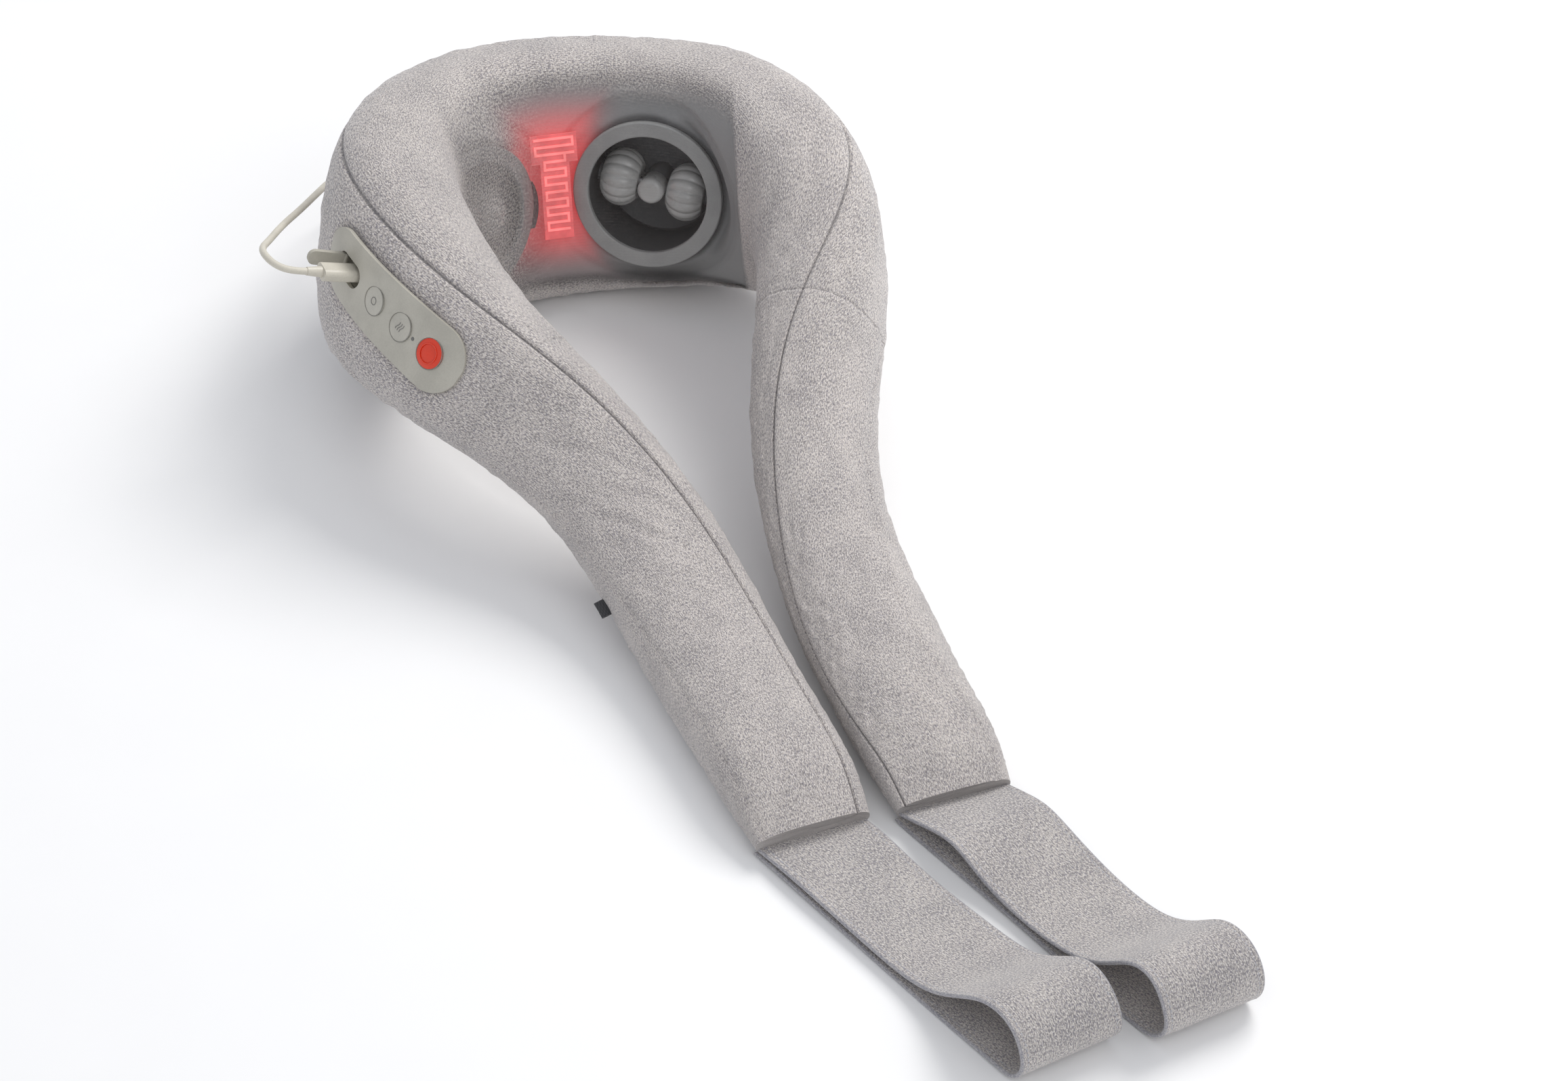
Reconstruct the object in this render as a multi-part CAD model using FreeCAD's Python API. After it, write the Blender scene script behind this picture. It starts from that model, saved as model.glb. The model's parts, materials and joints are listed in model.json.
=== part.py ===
"""Shiatsu neck massager: a padded U-shaped collar with two long padded arms that end in hand loops.

Row frame, millimetres: +Z up, the floor is z = 0, +Y is the wearer's back, the arms reach towards -Y.
The origin is on the floor under the middle of the collar's back, where the collar rests.
"""
import FreeCAD, Part
import math
import os

os.makedirs("parts", exist_ok=True)
Vec = FreeCAD.Vector
UP = Vec(0, 0, 1)

# ---------------------------------------------------------------- driving dimensions
# The padded band as it lies: one row per station, from the collar's back to each arm's tip.
# x, y, z of the middle; height across the band; thickness; roll of the outer face, degrees.
BACK = (0, 19, 69, 152, 74, -22)
LEFT = [
    (-58, 13, 74, 152, 76, -16), (-103, -23, 85, 142, 78, 2), (-115, -87, 93, 120, 76, 20),
    (-97, -154, 88, 93, 64, 36), (-62.5, -218, 67, 77, 49, 54), (-39, -281, 41, 75, 44, 72),
    (-29.5, -351, 24, 74, 44, 86), (-25, -415, 20, 72, 41, 90), (-21.5, -457, 17, 71, 34, 90),
    (-20, -489, 10.5, 64, 16, 90),
]
RIGHT = [
    (54, 5, 69, 147, 76, -20), (97, -30, 79, 139, 77, -11), (119, -94, 92, 120, 75, 2),
    (109, -155, 84, 99, 66, 13), (81.5, -217, 62, 85, 50, 34), (63, -281, 39, 73, 46, 60),
    (57.5, -351, 24, 74, 44, 82), (56.5, -416, 20, 72, 41, 90), (57.5, -459, 17, 71, 34, 90),
    (58, -491, 10.5, 64, 16, 90),
]
MIDDLE = len(LEFT)              # station number of the back
SECTION_POWER = 2.8             # squareness of the band's rounded section
ARM_PIVOT_STATION = 5.25        # stations from the back to where each arm flexes
SOFT_GAP = 0.6                  # between pads that move against each other

# Massage head, one on each side of the back. Its own frame: z = 0 on the ring's front, +Z to the wearer,
# +X along the band, +Y up across it.
HEAD_STATION = 1.26             # stations from the back
HEAD_LOW = 6                    # centre below the band's middle line
HEAD_PROUD = 2                  # front of the ring in front of the band's inner face
RING_HOLE_R, RING_R, RING_T = 35, 44, 3.2
SCREW_CIRCLE_R, SCREW_R, SCREW_HEAD_R = 41, 1.25, 2.4
CUP_R, CUP_WALL, CUP_FLOOR, FLOOR_T, FLANGE_T = 36.3, 1.8, -43.0, 2.5, 2.2
CARRIER_R, CARRIER_TOP, CARRIER_T = 33.5, -38.0, 3.0
POLE_R, POLE_TIP = 7.6, -6.0
ROLLER_R, ROLLER_END_R, ROLLER_HALF, ROLLER_AT, ROLLER_Z = 17, 11, 10.4, 19.6, -20
YOKE_IN, YOKE_OUT, YOKE_HALF = 30.6, 33.0, 5.0
AXLE_R, AXLE_HALF = 2.5, 32
ROLLER_LINE = -14               # the rollers' line at rest, degrees from level
SHAFT_R, SHAFT_END = 4, -63.5
BUSH_R, BUSH_FLANGE_R, BUSH_FLANGE_T = 7, 9, 1.0
RUNNING = 0.06                  # radial clearance of turning parts

# Worm drive behind each head: the worm and its motor stand along Y, on the side of the collar's middle
TEETH, WHEEL_R, TOOTH_DEPTH = 36, 18.6, 1.8
WHEEL_Z, WHEEL_HALF = -55.5, 3.0
WORM_AT, WORM_R, WORM_CORE_R, WORM_HALF, WORM_SHAFT_R = 23.0, 4.1, 3.0, 8.0, 1.5
MOTOR_R, MOTOR_TOP, MOTOR_LENGTH = 9, -13, 30
CASE_X, CASE_Y = (-22, 35), (-47, 22)
CASE_INNER_Z, CASE_OUTER_Z, CASE_WALL = -65, -67, 2.0

# Bridge and heater between the heads
BRIDGE_HALF_HEIGHT, BRIDGE_T, BRIDGE_DEPTH = 28, 5, 15
HEATER_BAR = (27, 17)           # width and height of the T's bar
HEATER_STEM = (17, 45)
HEATER_TOP, HEATER_T, HEATER_DEPTH = 30, 1.0, 1.5
TRACE_W, TRACE_T, TRACE_STEP = 1.4, 0.4, 4.5

# Control panel on the outer face of the left side, placed by station from the back
PANEL_FROM, PANEL_TO = 2.73, 4.18
# its centre line crosses the band's middle at one station, and rises to the rear
PANEL_LEVEL_AT, PANEL_RISE = 3.92, 13.4
PANEL_HALF_HEIGHT, PANEL_T, PANEL_PROUD = 19.5, 2.4, 1.2
PORT_AT, MODE_AT, HEAT_AT, LENS_AT, POWER_AT = 3.02, 3.36, 3.64, 3.765, 3.92
PORT_LENGTH, PORT_WIDTH, WELL_DEPTH, WELL_WALL = 26, 14, 8, 1.2
SMALL_BUTTON_R, POWER_BUTTON_R = 8, 8.6
BUTTON_GAP, BUTTON_TRAVEL = 0.25, 1.0
BUTTON_SKIRT_TOP, BUTTON_SKIRT_T, BUTTON_SKIRT = -3.5, 1.0, 1.0
STEM_R, STEM_END = 2.5, -6.5
SWITCH_LIFT, SWITCH_GAP = 0.45, 0.25
BOARD_TOP, BOARD_T, BOARD_HALF_HEIGHT = -9.3, 1.4, 12
BOARD_FROM, BOARD_TO = 3.22, 3.99
BOX_FROM, BOX_TO, BOX_DEPTH, BOX_HALF_HEIGHT, BOX_WALL = 2.83, 4.08, 15, 15, 1.5
LENS_R = 1.1
FLAP_LENGTH, FLAP_WIDTH, FLAP_T, FLAP_BARREL_R, FLAP_OPEN = 22, 9, 2.4, 1.6, 96
FLAP_X = -9.6                   # hinge, along the opening from its middle

# Charging lead
PLUG_X = 3.0                    # along the opening from its middle, towards the front
PLUG_L, PLUG_W, PLUG_T, PLUG_OUT = 22, 12.4, 7.4, 17.5      # overmould, and how far it stands out
CONTACT_W, CONTACT_T, CONTACT_L, CONTACT_GAP = 8.3, 2.5, 6.5, 0.15
RELIEF_L, RELIEF_R0, RELIEF_R1 = 9.0, 3.2, 2.4
LEAD_D = 4.0
# from the strain relief: a tight bend, then back and down to the floor behind the collar
LEAD_ROUTE = [
    (-180.7, -95.1, 130.3), (-189.2, -91.6, 134.5), (-192.6, -82.2, 136), (-190.6, -72.3, 132.5),
    (-184, -59, 124.5), (-169, -32, 111.5), (-151, -5, 98), (-134, 27, 80), (-114, 63, 60),
    (-102, 83, 38), (-93, 99, 17), (-83, 112.5, 5), (-71, 120.5, 2), (-58.5, 123.5, 2),
]
TAIL_ROUTE = [(-56.8, 123.7, 6.2), (-46, 128, 6), (-33.5, 129, 5), (-21, 127, 3.8)]
COIL_CENTRE, COIL_R = (-45.7, 100), 22.0    # on the floor behind the collar, radius at mid-turns
COIL_HALF_WIDTH, COIL_HEIGHT = 6.2, 8.2
TIE_ANGLE, TIE_W, TIE_T = 215, 9, 0.7
USB_L, USB_W, USB_T, USB_BOOT_L = 26, 15.6, 7.6, 9
USB_TONGUE_L, USB_TONGUE_W, USB_TONGUE_T = 18.5, 12, 4.5

# Battery in the right side
BATTERY_AT, BATTERY_LENGTH, BATTERY_HEIGHT, BATTERY_DEPTH, BATTERY_WALL = 2.9, 70, 42, 23, 1.5
CELL_R, CELL_L = 9.15, 65

# Hand loops of folded elastic webbing
LOOP_WIDTH, LOOP_T = 59, 2.4
LOOP_RUN, LOOP_TURN = 19, 9     # the loop's run, and its end fold, degrees turned from the arms
LOOP_GAP = 1.5                  # from the arm's tip
# side profile of the webbing's outer face: distance from the tip, height
LOOP_PROFILE_LEFT = [
    (-12, 8.2), (0, 8.4), (22, 9.5), (55, 8.5), (95, 9.5), (128, 14), (152, 27), (172, 41), (189, 43),
    (201, 33), (205, 17), (197, 4), (180, 1.0), (140, 0.8), (80, 0.8), (20, 0.9), (0, 1.4), (-12, 1.7),
]
LOOP_PROFILE_RIGHT = [
    (-12, 8.2), (0, 9.5), (16, 15), (36, 20), (58, 15), (88, 9.5), (125, 12), (152, 26), (172, 42),
    (189, 44), (200, 33), (203, 17), (195, 4), (178, 1.0), (140, 0.8), (80, 0.8), (20, 0.9),
    (0, 1.4), (-12, 1.7),
]
LABEL_AT, LABEL = 6.3, (10, 5, 0.8)        # along the seam, out of it, thickness


# ---------------------------------------------------------------- small helpers
def spline(rows):
    """Natural cubic spline through rows at parameter 0, 1, 2...; returns value(u) and slope(u)."""
    n = len(rows)
    width = len(rows[0])
    second = [[0.0] * width for _ in rows]
    for k in range(width):
        upper, right = [0.0] * n, [0.0] * n
        for i in range(1, n - 1):
            pivot = 4.0 - upper[i - 1]
            upper[i] = 1.0 / pivot
            bend = 6.0 * (rows[i + 1][k] - 2 * rows[i][k] + rows[i - 1][k])
            right[i] = (bend - right[i - 1]) / pivot
        for i in range(n - 2, 0, -1):
            second[i][k] = right[i] - upper[i] * second[i + 1][k]

    def at(u, slope=False):
        i = min(max(int(u), 0), n - 2)
        b = u - i
        a = 1 - b
        out = []
        for k in range(width):
            p, q, m, s = rows[i][k], rows[i + 1][k], second[i][k], second[i + 1][k]
            if slope:
                out.append(q - p + ((1 - 3 * a * a) * m + (3 * b * b - 1) * s) / 6)
            else:
                out.append(a * p + b * q + ((a ** 3 - a) * m + (b ** 3 - b) * s) / 6)
        return out

    return at


BAND = spline(list(reversed(LEFT)) + [BACK] + RIGHT)


class Station:
    """The band's middle, directions and size at one place: along, out of the outer face, and across."""

    def __init__(self, u):
        x, y, z, self.height, self.thick, roll = BAND(u)
        dx, dy, dz = BAND(u, slope=True)[:3]
        self.middle = Vec(x, y, z)
        self.along = Vec(dx, dy, dz).normalize()
        flat_out = UP.cross(self.along).normalize()
        flat_up = self.along.cross(flat_out)
        c, s = math.cos(math.radians(roll)), math.sin(math.radians(roll))
        self.out = flat_out * c + flat_up * s
        self.across = flat_up * c - flat_out * s

    def point(self, out=0.0, across=0.0):
        return self.middle + self.out * out + self.across * across

    def ring_points(self, count=28):
        """Points round the band's rounded section, from the outer face over the top."""
        points = []
        for i in range(count):
            a = 2 * math.pi * i / count
            c, s = math.cos(a), math.sin(a)
            r = (abs(c) ** SECTION_POWER + abs(s) ** SECTION_POWER) ** (-1 / SECTION_POWER)
            points.append(self.point(self.thick / 2 * r * c, self.height / 2 * r * s))
        return points


def left(stations):
    return MIDDLE - stations


def right(stations):
    return MIDDLE + stations


def save(name, *solids):
    """Writes one node; several separate solids go in one compound."""
    shape = solids[0] if len(solids) == 1 else Part.makeCompound(list(solids))
    shape.exportStep(f"parts/{name}.step")
    print(f"{name:22s} {shape.Volume / 1000:9.2f} cm3  solids {len(shape.Solids)}  valid {shape.isValid()}")


def cylinder(r, z0, z1, x=0.0, y=0.0):
    return Part.makeCylinder(r, z1 - z0, Vec(x, y, z0))


def tube(r_in, r_out, z0, z1):
    return cylinder(r_out, z0, z1).cut(cylinder(r_in, z0, z1))


def box(x0, x1, y0, y1, z0, z1):
    return Part.makeBox(x1 - x0, y1 - y0, z1 - z0, Vec(x0, y0, z0))


def fused(first, *others):
    for other in others:
        first = first.fuse(other)
    return first.removeSplitter()


def frame_at(origin, x_axis, z_axis):
    """Placement whose +Z is z_axis and whose +X is x_axis made square to it."""
    z = Vec(z_axis).normalize()
    y = z.cross(x_axis).normalize()
    x = y.cross(z)
    rows = [(x.x, y.x, z.x, origin.x), (x.y, y.y, z.y, origin.y), (x.z, y.z, z.z, origin.z), (0, 0, 0, 1)]
    return FreeCAD.Placement(FreeCAD.Matrix(*[value for row in rows for value in row]))


def placed(shape, placement):
    moved = shape.copy()
    moved.Placement = placement.multiply(moved.Placement)
    return moved


# ---------------------------------------------------------------- soft parts
def surface(rows):
    face = Part.BSplineSurface()
    face.interpolate(rows)
    return face


def solid_from(faces):
    shell = Part.makeShell(faces)
    shell.sewShape()
    solid = Part.Solid(shell.Shells[0])
    if solid.Volume < 0:
        solid.reverse()
    return solid


def band_solid(u0, u1, steps):
    """The padded band from one station number to another, with flat ends."""
    rings = [Station(u0 + (u1 - u0) * i / steps).ring_points(32) for i in range(steps + 1)]
    skin = surface([points + points[:1] for points in rings])
    ends = [Part.Face(Part.Wire([skin.uIso(u).toShape()])) for u in skin.bounds()[:2]]
    return solid_from([skin.toShape()] + ends)


def sheet_solid(front, back):
    """Thin solid between two grids of points."""
    a, b = surface(front), surface(back)
    faces = [a.toShape(), b.toShape()]
    for k in range(4):
        first, second = (g.uIso(g.bounds()[k]) if k < 2 else g.vIso(g.bounds()[k]) for g in (a, b))
        faces.append(Part.makeRuledSurface(first.toShape(), second.toShape()))
    return solid_from(faces)


def above_floor(shape):
    return shape.common(Part.makeBox(1200, 1400, 400, Vec(-600, -1000, 0)))


def arm_pad(u_pivot, u_tip):
    """One padded arm, from where it flexes to its sewn tip."""
    s = Station(u_pivot)
    start = u_pivot + math.copysign(SOFT_GAP / 70, u_tip - u_pivot)
    print(f"arm pivot {max(s.ring_points(), key=lambda p: p.dot(UP.cross(s.along)))}, middle {s.middle}")
    return above_floor(band_solid(start, u_tip, 16))


def webbing_loop(tip, profile):
    """Folded webbing: the side profile with its thickness, carried across the loop's width."""
    outer, inner = [], []
    for i, (d, h) in enumerate(profile):
        d0, h0 = profile[max(i - 1, 0)]
        d1, h1 = profile[min(i + 1, len(profile) - 1)]
        size = math.hypot(d1 - d0, h1 - h0)
        outer.append((d, h))
        inner.append((d + (h1 - h0) / size * LOOP_T, h - (d1 - d0) / size * LOOP_T))
    run, turn = math.radians(LOOP_RUN), math.radians(LOOP_TURN)
    go, wide = Vec(math.sin(run), -math.cos(run), 0), Vec(math.cos(turn), math.sin(turn), 0)
    start = Vec(tip.x, tip.y, 0) - wide * (LOOP_WIDTH / 2)
    curves = []
    for points in (outer, inner):
        curve = Part.BSplineCurve()
        curve.interpolate([start + go * d + UP * h for d, h in points])
        curves.append(curve)
    first, second = curves[0], curves[1]
    ends = [Part.makeLine(first.value(k), second.value(k))
            for k in (first.LastParameter, first.FirstParameter)]
    wire = Part.Wire(Part.__sortEdges__([first.toShape(), ends[0], second.toShape(), ends[1]]))
    strip = Part.Face(wire).extrude(wide * LOOP_WIDTH)
    keep = Part.makeBox(800, 400, 200, Vec(-400, tip.y - LOOP_GAP - 400, -50))
    return strip.common(keep)


def inner_cover():
    """Sheer panel over the heads, on the band's inner face, lifted where it passes over the rings."""
    reach, half, lift, spread, inner, thick = 2.2, 60, 10, 58, 0.4, 0.9
    centres = [head_frame(side).Base for side in (-1, 1)]
    front, back = [], []
    for i in range(17):
        s = Station(MIDDLE - reach + 2 * reach * i / 16)
        rows = [], []
        for j in range(13):
            across = half * (j / 6 - 1)
            k = abs(across) / (s.height / 2)
            depth = s.thick / 2 * (1 - k ** SECTION_POWER) ** (1 / SECTION_POWER)
            near = min((s.point(-depth, across) - c).Length for c in centres)
            rise = inner + lift / (1 + (near / spread) ** 6)
            rows[0].append(s.point(-depth - rise, across))
            rows[1].append(s.point(-depth - rise - thick, across))
        front.append(rows[1])
        back.append(rows[0])
    return sheet_solid(front, back)


# ---------------------------------------------------------------- massage heads
def head_frame(side):
    """Placement of one head; side is -1 on the left and 1 on the right."""
    s = Station(MIDDLE + side * HEAD_STATION)
    return frame_at(s.point(-(s.thick / 2 + HEAD_PROUD), -HEAD_LOW), s.along, s.out * -1)


def on_circle(radius, count, first=45):
    for i in range(count):
        a = math.radians(first + 360 * i / count)
        yield radius * math.cos(a), radius * math.sin(a)


def ring():
    body = tube(RING_HOLE_R, RING_R, -RING_T, 0)
    rims = [e for e in body.Edges if abs(e.BoundBox.ZMax) < 0.01]
    body = body.makeFillet(1.0, rims)
    for x, y in on_circle(SCREW_CIRCLE_R, 4):
        body = body.cut(cylinder(SCREW_R, -RING_T, -1.2, x, y))
    return body


def ring_screws():
    under = -RING_T - FLANGE_T
    return [fused(cylinder(SCREW_R, under, -1.3, x, y), cylinder(SCREW_HEAD_R, under - 1.6, under, x, y))
            for x, y in on_circle(SCREW_CIRCLE_R, 4)]


def cup():
    """Front housing: a round cup with a flange under the ring and a bored floor."""
    outer = CUP_R + CUP_WALL
    body = fused(tube(CUP_R, outer, CUP_FLOOR, -RING_T), tube(CUP_R, RING_R, -RING_T - FLANGE_T, -RING_T),
                 tube(BUSH_R, outer, CUP_FLOOR - FLOOR_T, CUP_FLOOR))
    for x, y in on_circle(SCREW_CIRCLE_R, 4):
        body = body.cut(cylinder(SCREW_R, -RING_T - FLANGE_T, -RING_T, x, y))
    return body


def bush():
    sleeve = tube(SHAFT_R + RUNNING, BUSH_R, CUP_FLOOR - FLOOR_T, CUP_FLOOR)
    return fused(sleeve, tube(SHAFT_R + RUNNING, BUSH_FLANGE_R, CUP_FLOOR, CUP_FLOOR + BUSH_FLANGE_T))


def across_x(r, x0, x1, z):
    return Part.makeCylinder(r, x1 - x0, Vec(x0, 0, z), Vec(1, 0, 0))


def carrier():
    """Turning plate with a middle pole and two yokes that hold the rollers' axle."""
    bottom = CARRIER_TOP - CARRIER_T
    body = fused(cylinder(CARRIER_R, bottom, CARRIER_TOP), cylinder(POLE_R, CARRIER_TOP, POLE_TIP))
    body = body.makeFillet(3.0, [e for e in body.Edges if abs(e.BoundBox.ZMin - POLE_TIP) < 0.01])
    for x0, x1 in ((-YOKE_OUT, -YOKE_IN), (YOKE_IN, YOKE_OUT)):
        post = box(x0, x1, -YOKE_HALF, YOKE_HALF, CARRIER_TOP, ROLLER_Z)
        body = fused(body, post, across_x(YOKE_HALF, x0, x1, ROLLER_Z))
    body = body.cut(across_x(AXLE_R, -AXLE_HALF, AXLE_HALF, ROLLER_Z))
    return body.cut(cylinder(SHAFT_R, bottom, CARRIER_TOP))


def axle():
    return across_x(AXLE_R, -AXLE_HALF, AXLE_HALF, ROLLER_Z)


def roller(x):
    """Barrel-shaped massage roller on the axle."""
    bore = AXLE_R + RUNNING
    left_end, right_end = Vec(-ROLLER_HALF, 0, ROLLER_END_R), Vec(ROLLER_HALF, 0, ROLLER_END_R)
    top = Vec(0, 0, ROLLER_R)
    a, b = Vec(ROLLER_HALF, 0, bore), Vec(-ROLLER_HALF, 0, bore)
    edges = [Part.Arc(left_end, top, right_end).toShape(), Part.makeLine(right_end, a),
             Part.makeLine(a, b), Part.makeLine(b, left_end)]
    body = Part.Face(Part.Wire(edges)).revolve(Vec(0, 0, 0), Vec(1, 0, 0), 360)
    return body.translated(Vec(x, 0, ROLLER_Z))


def shaft():
    return cylinder(SHAFT_R, SHAFT_END, CARRIER_TOP)


def worm_wheel():
    """Toothed wheel on the output shaft."""
    corners = []
    root = WHEEL_R - TOOTH_DEPTH
    for i in range(TEETH):
        for share, r in ((0.0, root), (0.28, WHEEL_R), (0.55, WHEEL_R), (0.83, root)):
            a = 2 * math.pi * (i + share) / TEETH
            corners.append(Vec(r * math.cos(a), r * math.sin(a), WHEEL_Z - WHEEL_HALF))
    body = Part.Face(Part.makePolygon(corners + corners[:1])).extrude(Vec(0, 0, 2 * WHEEL_HALF))
    return body.cut(cylinder(SHAFT_R, WHEEL_Z - WHEEL_HALF, WHEEL_Z + WHEEL_HALF))


def along_y(r, x, y0, y1):
    return Part.makeCylinder(r, y1 - y0, Vec(x, y0, WHEEL_Z), Vec(0, 1, 0))


def worm(hand):
    """Worm with its shaft, which goes into the motor below and a block above."""
    x = hand * WORM_AT
    body = fused(along_y(WORM_CORE_R, x, -WORM_HALF, WORM_HALF),
                 along_y(WORM_SHAFT_R, x, MOTOR_TOP - 5, 16))
    turns = 5
    pitch = 2 * WORM_HALF / turns
    for i in range(turns):
        y = -WORM_HALF + i * pitch
        body = body.fuse(along_y(WORM_R, x, y + 0.3 * pitch, y + 0.7 * pitch))
    return body.removeSplitter()


def motor(hand):
    x = hand * WORM_AT
    body = along_y(MOTOR_R, x, MOTOR_TOP - MOTOR_LENGTH, MOTOR_TOP)
    rims = [e for e in body.Edges if e.BoundBox.YLength < 0.01]
    return body.makeFillet(1.0, rims).cut(along_y(WORM_SHAFT_R + RUNNING, x, MOTOR_TOP - 6, MOTOR_TOP))


def gearcase(hand):
    """Rear housing, closed in front by the cup: a tray with a shaft boss, ribs and the worm's block."""
    x0, x1 = sorted((hand * CASE_X[0], hand * CASE_X[1]))
    (y0, y1), w, x = CASE_Y, CASE_WALL, hand * WORM_AT
    front = CUP_FLOOR - FLOOR_T
    outer = box(x0, x1, y0, y1, CASE_OUTER_Z, front)
    inner = box(x0 + w, x1 - w, y0 + w, y1 - w, CASE_INNER_Z, front)
    body = outer.makeFillet(4, [e for e in outer.Edges if e.BoundBox.ZLength > 5]).cut(inner)
    boss = tube(SHAFT_R + RUNNING, BUSH_R, CASE_INNER_Z, WHEEL_Z - WHEEL_HALF - 1)
    block = box(x - 3, x + 3, 12.5, 17, CASE_INNER_Z, WHEEL_Z + 4)
    ribs = [box(x - 7, x + 7, y - 1, y + 1, CASE_INNER_Z, WHEEL_Z - 3).cut(along_y(MOTOR_R, x, -50, 0))
            for y in (-38, -18)]
    body = fused(body, boss, block, *ribs)
    return body.cut(along_y(WORM_SHAFT_R + RUNNING, x, 12, 16.5))


def head_pocket(hand):
    """Room for one head in the collar's pad, open towards the wearer."""
    gap, front = 0.4, CUP_FLOOR - FLOOR_T
    x0, x1 = sorted((hand * CASE_X[0], hand * CASE_X[1]))
    case = box(x0 - gap, x1 + gap, CASE_Y[0] - gap, CASE_Y[1] + gap, CASE_OUTER_Z - gap, front + gap)
    deep = cylinder(CUP_R + CUP_WALL + gap, front - gap, 0)
    wide = cylinder(RING_R + gap, -RING_T - FLANGE_T - 1.6 - gap, 30)
    return case.fuse(deep).fuse(wide)


# ---------------------------------------------------------------- bridge and heater
def curved_bar(u0, u1, steps, half_height, low, high, cluster=False, centre=lambda u: 0):
    """Bar along the band; low and high, functions of the station, are distances from its middle."""
    wires = []
    for i in range(steps + 1):
        t = (1 - math.cos(math.pi * i / steps)) / 2 if cluster else i / steps
        u = u0 + (u1 - u0) * t
        s, h, c = Station(u), half_height(u), centre(u)
        corners = [s.point(low(s), c - h), s.point(high(s), c - h),
                   s.point(high(s), c + h), s.point(low(s), c + h)]
        wires.append(Part.makePolygon(corners + corners[:1]))
    return Part.makeLoft(wires, True, False)


def bridge():
    """Curved plate that joins the two cups' walls."""
    bar = curved_bar(MIDDLE - 0.9, MIDDLE + 0.9, 6, lambda u: BRIDGE_HALF_HEIGHT,
                     lambda s: -s.thick / 2 + BRIDGE_DEPTH,
                     lambda s: -s.thick / 2 + BRIDGE_DEPTH + BRIDGE_T)
    for side in (-1, 1):
        bar = bar.cut(placed(cylinder(CUP_R + CUP_WALL, CUP_FLOOR - FLOOR_T, 10), head_frame(side)))
        bar = bar.cut(placed(cylinder(RING_R + 0.3, -RING_T - FLANGE_T - 2, 10), head_frame(side)))
    return max(bar.Solids, key=lambda part: part.Volume)


def heater_frame():
    s = Station(MIDDLE)
    return frame_at(s.point(-s.thick / 2), s.along, s.out * -1)


def t_plate(z0, z1, grow=0.0):
    """T-shaped plate, its bar level along the collar and its stem hanging from it."""
    (bar_w, bar_h), (stem_w, stem_h) = HEATER_BAR, HEATER_STEM
    low = HEATER_TOP - bar_h
    bar = box(-bar_w / 2 - grow, bar_w / 2 + grow, low - grow, HEATER_TOP + grow, z0, z1)
    return fused(bar, box(-stem_w / 2 - grow, stem_w / 2 + grow, low - stem_h - grow, low + grow, z0, z1))


def heater_trace():
    """Zigzag heating wire on the T plate, bar first and then down the stem."""
    z0 = -HEATER_DEPTH + HEATER_T
    points = []
    (bar_w, bar_h), (stem_w, stem_h) = HEATER_BAR, HEATER_STEM
    rows = [(HEATER_TOP - 2.5 - k * TRACE_STEP, bar_w / 2 - 2.5) for k in range(3)]
    rows += [(rows[-1][0] - (k + 1) * TRACE_STEP, stem_w / 2 - 2.5) for k in range(10)]
    for k, (y, half) in enumerate(rows):
        ends = (-half, half) if k % 2 == 0 else (half, -half)
        if k:
            points.append((ends[0], points[-1][1]))
        points += [(ends[0], y), (ends[1], y)]
    w = TRACE_W / 2
    strips = [box(min(x0, x1) - w, max(x0, x1) + w, min(y0, y1) - w, max(y0, y1) + w, z0, z0 + TRACE_T)
              for (x0, y0), (x1, y1) in zip(points, points[1:]) if (x0, y0) != (x1, y1)]
    return fused(*strips)


# ---------------------------------------------------------------- control panel
def panel_centre(u):
    """The panel's centre line, across the band."""
    return PANEL_RISE * (PANEL_LEVEL_AT - (MIDDLE - u))


def face_point(stations, out=PANEL_PROUD):
    s = Station(left(stations))
    return s.point(s.thick / 2 + out, panel_centre(left(stations)))


def face_frame(stations):
    """Frame on the panel's outer face: +Z out of it, +X along its centre line to the front."""
    step = 0.05
    return frame_at(face_point(stations), face_point(stations + step) - face_point(stations - step),
                    Station(left(stations)).out)


def stadium_half_height(u):
    """Half height of the panel's outline, which ends in two half circles."""
    def length(a, b):
        points = [face_point(a + (b - a) * i / 12) for i in range(13)]
        return sum((q - p).Length for p, q in zip(points, points[1:]))
    end = 0.5 + min(length(PANEL_FROM, MIDDLE - u), length(MIDDLE - u, PANEL_TO))
    r = PANEL_HALF_HEIGHT
    return r if end >= r else math.sqrt(r * r - (r - end) ** 2)


def oval(length, width, z0, z1):
    r = width / 2
    half = length / 2 - r
    return fused(box(-half, half, -r, r, z0, z1), cylinder(r, z0, z1, -half), cylinder(r, z0, z1, half))


def panel_bar(first, last, steps, half_height, low, high, cluster=False):
    """Bar along the panel's centre line; low and high are measured from the panel's outer face."""
    face = PANEL_PROUD
    return curved_bar(left(last), left(first), steps, half_height, lambda s: s.thick / 2 + face + low,
                      lambda s: s.thick / 2 + face + high, cluster, panel_centre)


BUTTONS = {"mode_button": (MODE_AT, SMALL_BUTTON_R, 0.2), "heat_button": (HEAT_AT, SMALL_BUTTON_R, 0.2),
           "power_button": (POWER_AT, POWER_BUTTON_R, 1.2)}


def control_panel():
    plate = panel_bar(PANEL_FROM, PANEL_TO, 22, stadium_half_height, -PANEL_T, 0, cluster=True)
    for at, r, _ in BUTTONS.values():
        plate = plate.cut(placed(cylinder(r + BUTTON_GAP, -6, 6), face_frame(at)))
    plate = plate.cut(placed(oval(PORT_LENGTH, PORT_WIDTH, -6, 6), face_frame(PORT_AT)))
    return plate.cut(placed(cylinder(LENS_R, -6, 6), face_frame(LENS_AT)))


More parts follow.
